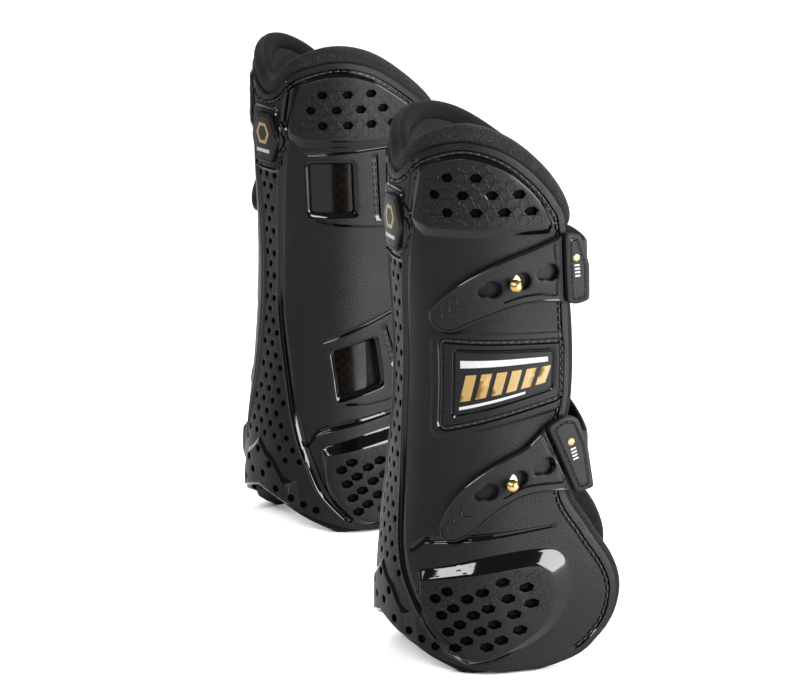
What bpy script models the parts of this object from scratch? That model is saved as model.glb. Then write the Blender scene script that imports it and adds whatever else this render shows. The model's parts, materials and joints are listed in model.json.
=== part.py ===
"""A pair of open-front tendon boots for a horse's front legs.

Each boot is a moulded shell that wraps the back and both sides of the cannon bone, over carbon plates
and a neoprene lining with a padded collar. Two straps close it: each has an elastic web sewn under the
inner side's front edge, an end plate, and a tab with keyholes that drops over a ball stud.

The boots stand upright on the floor. +Z is up and -Y is the way the horse faces. The right boot's outer
(lateral) side faces -X. The left boot is its mirror image, and stands beside it, turned a little.

A point of a boot's skin is given by s, the arc length round the leg from the middle of the back
(positive to the lateral side), by its height z, and by n, its distance outside the shell's face.
"""

import math

import bmesh
import bpy
import numpy as np
from mathutils import Matrix, Vector
from mathutils.geometry import delaunay_2d_cdt

MM = 0.001

# The boot's horizontal section at each height, in mm: back depth, half width and front depth.
STATIONS = np.array(
    [
        (0, 49.0, 38.5, 110),
        (40, 48.5, 40.0, 110),
        (80, 44.0, 37.5, 80),
        (125, 41.5, 35.5, 64),
        (180, 43.5, 36.0, 64),
        (235, 44.0, 37.0, 66),
    ],
    float,
)
SQUARENESS = 2.4

# Layers of the wall, in mm outside the shell's face: inner face, outer face.
SHELL = (-2.4, 0.0)
HIDDEN = (-4.4, -2.9)
CARBON = (-4.0, -2.9)
LINING = (-9.5, -4.9)
BADGE = (0.5, 1.9)
TAB = (1.3, 3.3)
PLATE = (1.3, 4.8)

# The flat patterns' inner points, round the leg and up it, and the points along their edges.
GRID = (7.5, 15.0)
CLEAR_OF_EDGE = 3.0
SLIVER = 0.001
EDGE_STEP = 7.5
STRAIGHT_UP = Vector((0, 0, 1))

# Outline of the shell from the dip at the back of the collar to the floor, as (s, z) in mm.
# The lateral side ends sooner than the medial side, so the straps close on the outside of the leg.
SIDES = {
    "lateral": {
        "top": [
            (0, 209), (8, 211.5), (20, 220), (39, 225.5), (56, 221.5), (70, 211.5), (80, 199.5), (84, 188),
        ],
        "front": [
            (84, 150), (84, 118), (82, 100), (86, 77), (98, 61), (110, 46), (114.5, 34), (112, 21), (101, 8),
        ],
        "flat": (88, 52),
    },
    "medial": {
        "top": [
            (0, 209), (8, 211.5), (20, 220.5), (39, 226), (56, 223.5), (72, 215), (90, 201), (98, 186),
        ],
        "front": [
            (99, 150), (99, 118), (98, 102), (102, 82), (113, 66), (126, 50), (131, 36), (127, 20), (114, 7),
        ],
        "flat": (98, 52),
    },
}
BACK_BOTTOM = [(40, 5.5), (26, 11), (12, 16.5), (0, 19.5)]
SHELL_LIFT = 0.9
LINING_LIP = 5.0
LINING_DROP = 3.5
LINING_SINK = 2.0

WINDOWS = {
    "upper": {"centre": (-37, 166.5), "size": (22, 23.5), "turn": 0},
    "lower": {"centre": (-51, 80.5), "size": (21.5, 22.5), "turn": -14},
}

KEYHOLE_WIDE = 4.0
KEYHOLE_NARROW = 2.3
KEYHOLE_TRAVEL = 4.2
KEYHOLE_PITCH = 12.6
ELASTIC_THICK = 1.6
ELASTIC_STEPS = 14
WEB_N = 2.3
SWING_N = -1.2
ANCHOR_SHORT = 7.5
LEG_RADIUS = 50.0

STRAPS = {
    "upper": {
        "slope": 13.5,
        "stud": (59.2, 167.0),
        "leaf": [
            (80.9, 185.9), (69, 181.5), (56, 177), (42, 170), (30, 161), (25.3, 154.5),
            (27.5, 149), (34, 147), (45, 152), (59, 157), (70, 158.5), (81.1, 158),
        ],
        "plate": [(81.5, 187), (88.5, 186), (92.4, 173), (92, 158), (86, 156.6), (81.8, 157.8)],
        "web": {"start": (94.2, 171), "middle": 168, "end": (-105.5, 165), "width": 24, "pulls": (2, 5)},
        "anchor": {"z": (153, 177), "rise": 0, "back": -56},
    },
    "lower": {
        "slope": 21.5,
        "stud": (59.8, 83.2),
        "leaf": [
            (72.9, 104.9), (68.5, 100.5), (65, 97.5), (56, 93), (47, 87), (38, 78), (34, 68),
            (35.5, 61), (40, 59), (47, 62.5), (57, 72), (69, 77.5), (87, 78.2),
        ],
        "plate": [(73.4, 106), (80.5, 110), (86.5, 109), (92, 98), (97, 78.6), (88.8, 77.2)],
        "web": {"start": (98.1, 91), "middle": 92, "end": (-105.5, 93), "width": 23, "pulls": (2, 5)},
        "anchor": {"z": (69.3, 92.3), "rise": 0.36, "back": -64},
    },
}

STUD_HOLE = 1.8
STUD_PROFILE = [(0, -4.6), (1.4, -4.6), (1.4, 0.3), (3.9, 0.3), (3.9, 0.9), (1.4, 0.9), (1.4, 3.9)]
BALL_RADIUS = 2.8
BALL_CENTRE = 6.3
BALL_RINGS = 5
WASHER = {"bore": 1.75, "rim": 4.6, "low": -4.3, "high": -2.9}
ROUND_SIDES = 12

CARBON_HOLE = 6.5
CARBON_BACK = [(34, 62), (20, 84), (15, 120), (17, 170), (20, 196)]
CARBON_PLATES = {
    "lateral": [*CARBON_BACK, (60, 194), (76, 182), (77, 116), (74, 72)],
    "medial": [*CARBON_BACK, (50, 196), (53, 150), (53, 110), (58, 68)],
}
LABEL = [(34, 139), (76, 137.5), (75, 121), (34, 110.5)]
BACK_BADGE = [(-6.5, 200), (6.5, 200), (12, 188.5), (6.5, 177), (-6.5, 177), (-12, 188.5)]

COLLAR_GAP = 0.8
COLLAR_HEIGHT = 7.6
COLLAR_FRONT_HEIGHT = 5.5
COLLAR_LAYER = (-9.3, 0.4)
COLLAR_SIDES = 8
COLLAR_STEP = 6.0

LEFT_PLACE = {"x": 222, "y": -4, "turn": 14}

FINISHES = {
    "shell": ((0.012, 0.012, 0.013), 0.38, 0.0),
    "carbon": ((0.008, 0.008, 0.009), 0.12, 0.0),
    "neoprene": ((0.022, 0.023, 0.025), 0.95, 0.0),
    "rubber": ((0.013, 0.013, 0.014), 0.5, 0.0),
    "elastic": ((0.045, 0.042, 0.040), 0.9, 0.0),
    "print": ((0.02, 0.02, 0.02), 0.4, 0.0),
    "brass": ((0.83, 0.58, 0.22), 0.22, 1.0),
}


def clear_scene():
    for obj in list(bpy.data.objects):
        bpy.data.objects.remove(obj)


def finish(name):
    """The material of this name, made once."""
    if name in bpy.data.materials:
        return bpy.data.materials[name]
    colour, roughness, metallic = FINISHES[name]
    material = bpy.data.materials.new(name)
    material.use_nodes = True
    shader = material.node_tree.nodes["Principled BSDF"]
    shader.inputs["Base Color"].default_value = (*colour, 1)
    shader.inputs["Roughness"].default_value = roughness
    shader.inputs["Metallic"].default_value = metallic
    return material


# --- the skin of the boot ---------------------------------------------------------------------


def station(z, column):
    """One measure of the section at height z, on a smooth curve through the stations."""
    heights, values = STATIONS[:, 0], STATIONS[:, column]
    z = min(max(z, heights[0]), heights[-1])
    slopes = np.gradient(values, heights)
    i = int(np.clip(np.searchsorted(heights, z) - 1, 0, len(heights) - 2))
    span = heights[i + 1] - heights[i]
    t = (z - heights[i]) / span
    ahead = 3 * t**2 - 2 * t**3
    return (
        (1 - ahead) * values[i]
        + ahead * values[i + 1]
        + (t**3 - 2 * t**2 + t) * span * slopes[i]
        + (t**3 - t**2) * span * slopes[i + 1]
    )


def section(z, points=160):
    """(arc length, distance from the middle, y) along one side of the section at height z, from the back."""
    back, half, front = (station(z, column) for column in (1, 2, 3))
    angle = np.linspace(0, math.pi / 2, points)
    power = 2 / SQUARENESS
    out = np.concatenate([half * np.sin(angle) ** power, half * np.cos(angle[1:-4]) ** power])
    y = np.concatenate([back * np.cos(angle) ** power, -front * np.sin(angle[1:-4]) ** power])
    length = np.concatenate([[0], np.cumsum(np.hypot(np.diff(out), np.diff(y)))])
    return length, out, y


def on_skin(s, z, n):
    """The point of the right boot at (s, z), n outside the shell's face, in metres. n is level."""
    length, out, y = section(z)
    reach = 0.8
    arcs = [abs(s), abs(s) + reach, max(abs(s) - reach, 0)]
    across = np.interp(arcs, length, out)
    along = np.interp(arcs, length, y)
    if abs(s) < reach:
        across[2], along[2] = -across[1], along[1]
    tangent = Vector((across[1] - across[2], along[1] - along[2])).normalized()
    side = 1 if s < 0 else -1
    return Vector((side * (across[0] - n * tangent.y), along[0] + n * tangent.x, z)) * MM


def curve_through(points, closed=False, step=EDGE_STEP):
    """Points at about this step along a smooth curve through the given ones."""
    points = [Vector(p) for p in points]
    ends = [points[-1]] + points + points[:2] if closed else [points[0]] + points + [points[-1]]
    found = []
    for a, b, c, d in zip(ends, ends[1:], ends[2:], ends[3:]):
        pieces = max(1, round((c - b).length / step))
        for k in range(pieces):
            t = k / pieces
            bend = (2 * a - 5 * b + 4 * c - d) * t**2 + (3 * b - a - 3 * c + d) * t**3
            found.append(b + 0.5 * ((c - a) * t + bend))
    return found if closed else found + [points[-1]]


def straight(points, step=EDGE_STEP):
    """Points at about this step along straight lines through the given ones, without the last."""
    points = [Vector(p) for p in points]
    found = []
    for a, b in zip(points, points[1:]):
        pieces = max(1, round((b - a).length / step))
        found += [a.lerp(b, k / pieces) for k in range(pieces)]
    return found


def polygon(corners, radius=2.0, steps=3):
    """A closed outline through these corners, each rounded to about this radius."""
    corners = [Vector(c) for c in corners]
    found = []
    for before, here, after in zip(corners[-1:] + corners, corners, corners[1:] + corners[:1]):
        first = here + (before - here).normalized() * radius
        last = here + (after - here).normalized() * radius
        for k in range(steps + 1):
            t = k / steps
            found.append(first * (1 - t) ** 2 + here * 2 * t * (1 - t) + last * t**2)
    closed = found + found[:1]
    return straight(closed)


def inside(point, loop):
    """Whether the point lies within the closed outline."""
    found = False
    for a, b in zip(loop, loop[1:] + loop[:1]):
        if (a[1] > point[1]) != (b[1] > point[1]):
            found ^= point[0] < a[0] + (b[0] - a[0]) * (point[1] - a[1]) / (b[1] - a[1])
    return found


def distance(point, loop):
    """How far the point is from the closed outline."""
    found = []
    for a, b in zip(loop, loop[1:] + loop[:1]):
        part = (point - a).dot(b - a) / max((b - a).length_squared, 1e-9)
        found.append((point - a.lerp(b, min(max(part, 0), 1))).length)
    return min(found)


def fill(outline, holes):
    """(points, triangles) of the flat pattern, with inner points on the common grid."""
    loops = [outline, *holes]
    points = [p for loop in loops for p in loop]
    edges, first = [], 0
    for loop in loops:
        edges += [(first + k, first + (k + 1) % len(loop)) for k in range(len(loop))]
        first += len(loop)
    low = [math.floor(min(p[k] for p in outline) / GRID[k]) for k in (0, 1)]
    high = [math.ceil(max(p[k] for p in outline) / GRID[k]) for k in (0, 1)]
    for i in range(low[0], high[0] + 1):
        for j in range(low[1], high[1] + 1):
            spot = Vector((i * GRID[0], j * GRID[1]))
            if inside(spot, outline) and all(distance(spot, loop) > CLEAR_OF_EDGE for loop in loops):
                if not any(inside(spot, hole) for hole in holes):
                    points.append(spot)
    made = delaunay_2d_cdt(points, edges, [], 0, 1e-5)
    spots = made[0]
    triangles = []
    for face in made[2]:
        a, b, c = (spots[k] for k in face)
        middle = (a + b + c) / 3
        sliver = abs((b - a).cross(c - a)) < SLIVER
        if not sliver and inside(middle, outline) and not any(inside(middle, hole) for hole in holes):
            triangles.append(tuple(face))
    return spots, triangles


# --- making objects ---------------------------------------------------------------------------


class Boot:
    """Where one boot's pieces go: its name, its mirroring and the empty that they hang from."""

    def __init__(self, name, side, place):
        self.name = name
        self.side = side
        self.base = bpy.data.objects.new(f"{name}_boot", None)
        bpy.context.scene.collection.objects.link(self.base)
        self.base.location = (place["x"] * MM, place["y"] * MM, 0)
        self.base.rotation_euler = (0, 0, math.radians(place["turn"]))

    def mirrored(self, point):
        return Vector((point[0] * self.side, point[1], point[2]))

    def pivot(self, name, position, axis, parent=None):
        """An empty on a joint's axis, with its own Z along the axis. A mirrored turn goes the other way."""
        empty = bpy.data.objects.new(f"{self.name}_{name}", None)
        bpy.context.scene.collection.objects.link(empty)
        axis = Vector((axis[0], axis[1] * self.side, axis[2] * self.side))
        turn = axis.to_track_quat("Z", "X").to_matrix().to_4x4()
        empty.matrix_world = self.base.matrix_local @ Matrix.Translation(self.mirrored(position)) @ turn
        held = parent or self.base
        empty.parent = held
        world = held.matrix_world if parent else self.base.matrix_local
        empty.matrix_parent_inverse = world.inverted()
        return empty

    def add(self, name, points, faces, material, parent=None):
        """A named object of the right boot's points, mirrored for the left boot, its faces turned out."""
        mesh = bpy.data.meshes.new(f"{self.name}_{name}")
        mesh.from_pydata([self.mirrored(p) for p in points], [], faces)
        shape = bmesh.new()
        shape.from_mesh(mesh)
        bmesh.ops.recalc_face_normals(shape, faces=shape.faces)
        if shape.calc_volume(signed=True) < 0:
            bmesh.ops.reverse_faces(shape, faces=shape.faces)
        shape.to_mesh(mesh)
        shape.free()
        mesh.shade_smooth()
        mesh.set_sharp_from_angle(angle=math.radians(35))
        mesh.materials.append(finish(material))
        obj = bpy.data.objects.new(f"{self.name}_{name}", mesh)
        bpy.context.scene.collection.objects.link(obj)
        bpy.context.view_layer.update()
        if parent:
            mesh.transform(parent.matrix_world.inverted() @ self.base.matrix_world)
        obj.parent = parent or self.base
        return obj

    def panel(self, name, outline, layer, material, holes=(), parent=None):
        """A flat pattern wrapped on the boot, between two distances from the shell's face."""
        spots, triangles = fill(outline, list(holes))
        count = len(spots)
        points = [on_skin(p[0], p[1], n) for n in layer for p in spots]
        used = {}
        for a, b, c in triangles:
            for edge in ((a, b), (b, c), (c, a)):
                used[edge] = edge[::-1] in used
                if edge[::-1] in used:
                    used[edge[::-1]] = True
        faces = [(a + count, b + count, c + count) for a, b, c in triangles]
        faces += [(c, b, a) for a, b, c in triangles]
        faces += [(a, b, b + count, a + count) for (a, b), shared in used.items() if not shared]
        return self.add(name, points, faces, material, parent)

    def turned(self, name, profile, spot, material):
        """A round piece: (radius, n) pairs turned about the skin's normal at this spot. It joins its ends."""
        centre = on_skin(*spot, 0)
        outward = (on_skin(*spot, 1) - centre).normalized()
        across = outward.cross(STRAIGHT_UP).normalized()
        up = across.cross(outward)
        points, rings = [], []
        for radius, n in profile:
            ring = []
            for k in range(ROUND_SIDES if radius else 1):
                angle = 2 * math.pi * k / ROUND_SIDES
                ring.append(len(points))
                spoke = across * math.cos(angle) + up * math.sin(angle)
                points.append(centre + (outward * n + spoke * radius) * MM)
            rings.append(ring)
        if len(rings[0]) > 1:
            rings.append(rings[0])
        faces = []
        for low, high in zip(rings, rings[1:]):
            for k in range(ROUND_SIDES):
                after = (k + 1) % ROUND_SIDES
                around = ((low, k), (low, after), (high, after), (high, k))
                corners = [ring[j % len(ring)] for ring, j in around]
                faces.append(list(dict.fromkeys(corners)))
        return self.add(name, points, faces, material)


# --- outlines ---------------------------------------------------------------------------------


def side_outline(side, lip=0.0, lift=SHELL_LIFT, drop=0.0, sink=0.0):
    """One side's edge from the back of the collar round to the back of the floor edge, as (|s|, z).

    lip widens the front edge, lift raises the flat that the boot stands on, drop lowers the back, and
    sink lowers the top.
    """
    shape = SIDES[side]
    top = [(s, z - sink) for s, z in shape["top"]]
    top[-1] = (top[-1][0] + 0.4 * lip, top[-1][1] - lip)
    front = [(s + lip, z) for s, z in shape["front"][:-1]]
    toe = (shape["front"][-1][0] + 0.5 * lip, shape["front"][-1][1] - 0.5 + 0.5 * lift)
    start, end = shape["flat"]
    bottom = [(s, z + lift - drop) for s, z in BACK_BOTTOM]
    upper = curve_through(top + front + [toe, (start, lift)])
    flat = straight([(start, lift), (end, lift)])
    lower = curve_through([(end, lift), *bottom])
    return upper[:-1] + flat + lower


def boot_outline(**shape):
    lateral = side_outline("lateral", **shape)
    medial = side_outline("medial", **shape)
    return lateral[:-1] + [Vector((-p[0], p[1])) for p in reversed(medial[1:])]


def rectangle(window):
    turn = Matrix.Rotation(math.radians(window["turn"]), 2)
    width, height = window["size"]
    corners = [(-width, height), (width, height), (width, -height), (-width, -height)]
    return polygon([Vector(window["centre"]) + turn @ Vector(c) / 2 for c in corners], radius=1.5, steps=2)


def circle(centre, radius, sides=ROUND_SIDES):
    turns = [2 * math.pi * k / sides for k in range(sides)]
    return [Vector((centre[0] + radius * math.cos(a), centre[1] + radius * math.sin(a))) for a in turns]


def along(strap):
    """The unit direction of the strap on the skin, towards the front of the boot."""
    slope = math.radians(strap["slope"])
    return Vector((math.cos(slope), math.sin(slope)))


def keyhole(strap, number):
    """One keyhole's outline: a wide round end that passes the ball, and a narrow one that holds it."""
    forward = along(strap)
    narrow = Vector(strap["stud"]) + forward * KEYHOLE_PITCH * number
    wide = narrow + forward * KEYHOLE_TRAVEL
    meet = (KEYHOLE_TRAVEL**2 + KEYHOLE_WIDE**2 - KEYHOLE_NARROW**2) / (2 * KEYHOLE_TRAVEL)
    heading = math.atan2(forward.y, forward.x)
    wide_end = math.pi - math.acos(meet / KEYHOLE_WIDE)
    narrow_end = math.acos((KEYHOLE_TRAVEL - meet) / KEYHOLE_NARROW)
    found = []
    for centre, radius, first, last, steps in (
        (wide, KEYHOLE_WIDE, -wide_end, wide_end, 9),
        (narrow, KEYHOLE_NARROW, narrow_end, 2 * math.pi - narrow_end, 6),
    ):
        for k in range(steps):
            angle = heading + first + (last - first) * (k + 0.5) / steps
            found.append(centre + Vector((math.cos(angle), math.sin(angle))) * radius)
    return found


# --- sub-parts --------------------------------------------------------------------------------


def make_shell(boot):
    holes = [rectangle(window) for window in WINDOWS.values()]
    holes += [circle(strap["stud"], STUD_HOLE, 8) for strap in STRAPS.values()]
    boot.panel("shell", boot_outline(), SHELL, "shell", holes)


def make_lining(boot):
    outline = boot_outline(lip=LINING_LIP, lift=0.0, drop=LINING_DROP, sink=LINING_SINK)
    boot.panel("lining", outline, LINING, "neoprene")


def make_carbon_plates(boot):
    holes = [circle(strap["stud"], CARBON_HOLE) for strap in STRAPS.values()]
    boot.panel("lateral_carbon_plate", polygon(CARBON_PLATES["lateral"], 5), CARBON, "carbon", holes)
    medial = [(-s, z) for s, z in reversed(CARBON_PLATES["medial"])]
    boot.panel("medial_carbon_plate", polygon(medial, 5), CARBON, "carbon")


def make_badges(boot):
    boot.panel("label_badge", polygon(LABEL, 2.5), BADGE, "print")
    boot.panel("back_badge", polygon(BACK_BADGE, 1.5), BADGE, "print")


def make_collar(boot):
    """The padded roll on the top edge: an oval section carried along the edge, thinner at the front."""
    tops = {side: curve_through(SIDES[side]["top"], step=COLLAR_STEP) for side in SIDES}
    path = list(reversed(tops["lateral"])) + [Vector((-p[0], p[1])) for p in tops["medial"][1:]]
    points = []
    for k, spot in enumerate(path):
        ahead = path[min(k + 1, len(path) - 1)] - path[max(k - 1, 0)]
        up = Vector((ahead.y, -ahead.x)).normalized()
        near_end = min(k, len(path) - 1 - k) / (len(path) / 4)
        height = COLLAR_FRONT_HEIGHT + (COLLAR_HEIGHT - COLLAR_FRONT_HEIGHT) * min(near_end, 1)
        for j in range(COLLAR_SIDES):
            angle = 2 * math.pi * (j + 0.5) / COLLAR_SIDES
            n = sum(COLLAR_LAYER) / 2 + (COLLAR_LAYER[1] - COLLAR_LAYER[0]) / 2 * math.cos(angle)
            rise = COLLAR_GAP + height / 2 * (1 + math.sin(angle))
            place = spot + up * rise
            points.append(on_skin(place[0], place[1], n))
    count = COLLAR_SIDES
    faces = []
    for k in range(len(path) - 1):
        for j in range(count):
            after = (j + 1) % count
            faces.append((k * count + j, k * count + after, (k + 1) * count + after, (k + 1) * count + j))
    faces.append(list(range(count)))
    faces.append([(len(path) - 1) * count + j for j in range(count)])
    boot.add("collar", points, faces, "neoprene")


def make_stud(boot, name, strap):
    """A ball stud through the shell, with a flange outside and a washer behind it."""
    ball = []
    start = math.acos(STUD_PROFILE[-1][0] / BALL_RADIUS)
    for k in range(BALL_RINGS + 1):
        angle = -start + (math.pi / 2 + start) * k / BALL_RINGS
        ball.append((BALL_RADIUS * math.cos(angle), BALL_CENTRE + BALL_RADIUS * math.sin(angle)))
    ball[-1] = (0, BALL_CENTRE + BALL_RADIUS)
    boot.turned(f"{name}_stud", STUD_PROFILE + ball, strap["stud"], "brass")
    bore, rim = WASHER["bore"], WASHER["rim"]
    low, high = WASHER["low"], WASHER["high"]
    ring = [(bore, low), (rim, low), (rim, high), (bore, high)]
    boot.turned(f"{name}_stud_washer", ring, strap["stud"], "brass")


def web_path(web):
    """The elastic's middle line from the end plate, round the open front, to the medial edge."""
    start, end = web["start"], web["end"]
    ends = [on_skin(*start, WEB_N), on_skin(*end, SWING_N)]
    beyond = [on_skin(start[0] + 2, start[1], WEB_N), on_skin(end[0] - 2, end[1], SWING_N)]
    pulls = [
        spot + (after - spot).normalized() * pull * MM
        for spot, after, pull in zip(ends, beyond, web["pulls"])
    ]
    path = []
    for k in range(ELASTIC_STEPS + 1):
        t = k / ELASTIC_STEPS
        u = 1 - t
        spot = ends[0] * u**3 + pulls[0] * 3 * t * u**2 + pulls[1] * 3 * t**2 * u + ends[1] * t**3
        spot.z = 0
        path.append(spot)
    steps = [(b - a).length for a, b in zip(path, path[1:])]
    lift = web["middle"] - (start[1] + end[1]) / 2
    for k, spot in enumerate(path):
        share = sum(steps[:k]) / sum(steps)
        spot.z = (start[1] + (end[1] - start[1]) * share + lift * 4 * share * (1 - share)) * MM
    return path


def make_elastic(boot, name, web, parent):
    """A flat woven band, swept with its width square to its path."""
    path = web_path(web)
    points = []
    for k, spot in enumerate(path):
        ahead = (path[min(k + 1, len(path) - 1)] - path[max(k - 1, 0)]).normalized()
        across = (STRAIGHT_UP - ahead * ahead.z).normalized()
        outward = ahead.cross(across)
        for width, thick in ((-1, -1), (1, -1), (1, 1), (-1, 1)):
            offset = across * width * web["width"] / 2 + outward * thick * ELASTIC_THICK / 2
            points.append(spot + offset * MM)
    faces = [(0, 1, 2, 3), tuple(len(points) - k for k in (4, 3, 2, 1))]
    for k in range(len(path) - 1):
        for j in range(4):
            faces.append((4 * k + j, 4 * k + (j + 1) % 4, 4 * k + 4 + (j + 1) % 4, 4 * k + 4 + j))
    boot.add(f"{name}_elastic", points, faces, "elastic", parent)


def make_anchor(boot, name, strap):
    """The end of the elastic that is sewn between the shell and the lining on the medial side."""
    anchor = strap["anchor"]
    low, high = anchor["z"]
    front = strap["web"]["end"][0] + ANCHOR_SHORT
    rise = anchor["rise"] * (anchor["back"] - front)
    corners = [(front, low + rise), (anchor["back"], low), (anchor["back"], high), (front, high + rise)]
    boot.panel(f"{name}_strap_anchor", polygon(corners, 1.5, 2), HIDDEN, "elastic")


def make_strap(boot, name, strap):
    """A strap on two pivots: it swings open about the medial edge, and its tab pulls back along the leg."""
    end = strap["web"]["end"]
    swing = boot.pivot(f"{name}_strap_swing", on_skin(*end, SWING_N), STRAIGHT_UP)
    make_elastic(boot, name, strap["web"], swing)

    slope = math.radians(strap["slope"])
    outward = (on_skin(*strap["stud"], 1) - on_skin(*strap["stud"], 0)).normalized()
    back = STRAIGHT_UP.cross(-outward)
    pull = back * math.cos(slope) - STRAIGHT_UP * math.sin(slope)
    centre = on_skin(*strap["stud"], -LEG_RADIUS)
    stretch = boot.pivot(f"{name}_tab_stretch", centre, outward.cross(pull), swing)
    leaf = curve_through(strap["leaf"]) + straight([strap["leaf"][-1], strap["leaf"][0]])[1:]
    keyholes = [keyhole(strap, number) for number in (-1, 0, 1)]
    boot.panel(f"{name}_strap_tab", leaf, TAB, "rubber", keyholes, stretch)
    boot.panel(f"{name}_strap_plate", polygon(strap["plate"], 2), PLATE, "rubber", (), stretch)


def make_boot(name, side, place):
    boot = Boot(name, side, place)
    bpy.context.view_layer.update()
    make_shell(boot)
    make_carbon_plates(boot)
    make_lining(boot)
    make_collar(boot)
    make_badges(boot)
    for strap_name, strap in STRAPS.items():
        make_stud(boot, strap_name, strap)
        make_anchor(boot, strap_name, strap)
        make_strap(boot, strap_name, strap)
    return boot


def centre_pair(boots):
    """Moves both boots so that the pair's box is centred over the origin and stands on the floor."""
    bpy.context.view_layer.update()
    solids = [obj for obj in bpy.data.objects if obj.type == "MESH"]
    corners = [obj.matrix_world @ vertex.co for obj in solids for vertex in obj.data.vertices]
    middle = [(min(p[k] for p in corners) + max(p[k] for p in corners)) / 2 for k in (0, 1)]
    floor = min(p[2] for p in corners)
    for boot in boots:
        boot.base.location -= Vector((*middle, floor))


clear_scene()
pair = [
    make_boot("right", 1, {"x": 0, "y": 0, "turn": 0}),
    make_boot("left", -1, LEFT_PLACE),
]
centre_pair(pair)
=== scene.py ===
"""The looks of a pair of open-front tendon boots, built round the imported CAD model.

Every piece is made once for the right boot and mirrored for the left boot. A point of a boot's skin is
(s, z, n) in mm: s is the arc length round the leg from the middle of the back, positive to the lateral
side, z is the height, and n is the distance outside the shell's face. These are part.py's own terms.
"""

import json
import math

import bmesh
import bpy
import numpy as np
from mathutils import Matrix, Vector, kdtree
from mathutils.geometry import delaunay_2d_cdt


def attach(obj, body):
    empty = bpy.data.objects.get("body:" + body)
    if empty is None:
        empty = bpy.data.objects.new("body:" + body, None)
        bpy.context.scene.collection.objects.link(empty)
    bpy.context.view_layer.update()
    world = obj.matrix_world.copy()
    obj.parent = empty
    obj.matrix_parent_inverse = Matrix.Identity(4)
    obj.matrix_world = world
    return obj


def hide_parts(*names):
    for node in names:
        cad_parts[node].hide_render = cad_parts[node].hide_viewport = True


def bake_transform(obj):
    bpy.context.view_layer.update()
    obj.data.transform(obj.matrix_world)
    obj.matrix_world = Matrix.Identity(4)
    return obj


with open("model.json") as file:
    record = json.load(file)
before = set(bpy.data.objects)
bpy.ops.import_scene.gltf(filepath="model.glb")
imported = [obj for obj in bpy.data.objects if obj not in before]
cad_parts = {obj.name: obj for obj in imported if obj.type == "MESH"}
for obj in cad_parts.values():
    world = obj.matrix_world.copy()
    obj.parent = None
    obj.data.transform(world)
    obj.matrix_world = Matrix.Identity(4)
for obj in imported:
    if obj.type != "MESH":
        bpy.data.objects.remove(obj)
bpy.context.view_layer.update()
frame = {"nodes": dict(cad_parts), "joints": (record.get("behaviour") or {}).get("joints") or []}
MM = 0.001

# The boot's horizontal section at each height, in mm: back depth, half width and front depth.
STATIONS = np.array(
    [
        (0, 49.0, 38.5, 110),
        (40, 48.5, 40.0, 110),
        (80, 44.0, 37.5, 80),
        (125, 41.5, 35.5, 64),
        (180, 43.5, 36.0, 64),
        (235, 44.0, 37.0, 66),
    ],
    float,
)
SQUARENESS = 2.4

# Points that are compared with a line at one time, to spare memory.
CHUNK = 4000

# Layers of the wall, in mm outside the shell's face: inner face, outer face.
SHELL = (-2.4, 0.0)
CARBON = (-4.0, -2.9)
LINING = (-9.5, -4.9)
BADGE = (0.5, 1.9)
TAB = (1.3, 3.2)
PLATE = (1.3, 4.6)
WEB_N = 2.3
SWING_N = -1.2
LEG_RADIUS = 50.0

SIDES = {
    "lateral": {
        "top": [
            (0, 209), (8, 211.5), (20, 220), (39, 225.5), (56, 221.5), (70, 211.5), (80, 199.5),
            (84, 188),
        ],
        "front": [
            (84, 150), (84, 118), (82, 100), (86, 77), (98, 61), (110, 46), (114.5, 34), (112, 21),
            (104, 10.5), (95, 4.8),
        ],
        "flat": (80, 62),
    },
    "medial": {
        "top": [(0, 209), (8, 211.5), (20, 220.5), (39, 226), (56, 223.5), (72, 215), (90, 201), (98, 186)],
        "front": [
            (99, 150), (99, 118), (98, 102), (102, 82), (113, 66), (126, 50), (131, 36), (127, 20),
            (118, 9.5), (107, 4.2),
        ],
        "flat": (92, 62),
    },
}
SIGNS = {"lateral": 1, "medial": -1}
BACK_BOTTOM = [(50, 2.2), (39, 6), (26, 11), (12, 16.5), (0, 19.5)]
SHELL_LIFT = 0.9
LINING_LIP = 5.0
LINING_DROP = 3.5

WINDOWS = {
    "upper": {"centre": (-37, 166.5), "size": (22, 23.5), "turn": 0},
    "lower": {"centre": (-51, 80.5), "size": (21.5, 22.5), "turn": -14},
}

STRAPS = {
    "upper": {
        "slope": 13.5,
        "stud": (59.2, 167.0),
        "leaf": [
            (80.9, 185.9), (69, 181.5), (56, 177), (42, 170), (30, 161), (25.3, 154.5),
            (27.5, 149), (34, 147), (45, 152), (59, 157), (70, 158.5), (81.1, 158),
        ],
        "plate": [(81.5, 187), (88.5, 186), (92.4, 173), (92, 158), (86, 156.6), (81.8, 157.8)],
        "web": {"start": (91.0, 171), "middle": 168, "end": (-105.5, 165), "width": 24, "pulls": (2, 5)},
    },
    "lower": {
        "slope": 21.5,
        "stud": (59.8, 83.2),
        "leaf": [
            (72.9, 104.9), (68.5, 100.5), (65, 97.5), (56, 93), (47, 87), (38, 78), (34, 68),
            (35.5, 61), (40, 59), (47, 62.5), (57, 72), (69, 77.5), (87, 78.2),
        ],
        "plate": [(73.4, 106), (80.5, 110), (86.5, 109), (92, 98), (97, 78.6), (88.8, 77.2)],
        "web": {"start": (92.6, 91), "middle": 92, "end": (-105.5, 93), "width": 23, "pulls": (2, 5)},
    },
}
KEYHOLE_WIDE = 3.55
KEYHOLE_NARROW = 2.0
KEYHOLE_TRAVEL = 4.2
KEYHOLE_PITCH = 12.6
STUD_HOLE = 1.8
ELASTIC_THICK = 1.6


# --- the skin of the boot -------------------------------------------------------------------------


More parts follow.
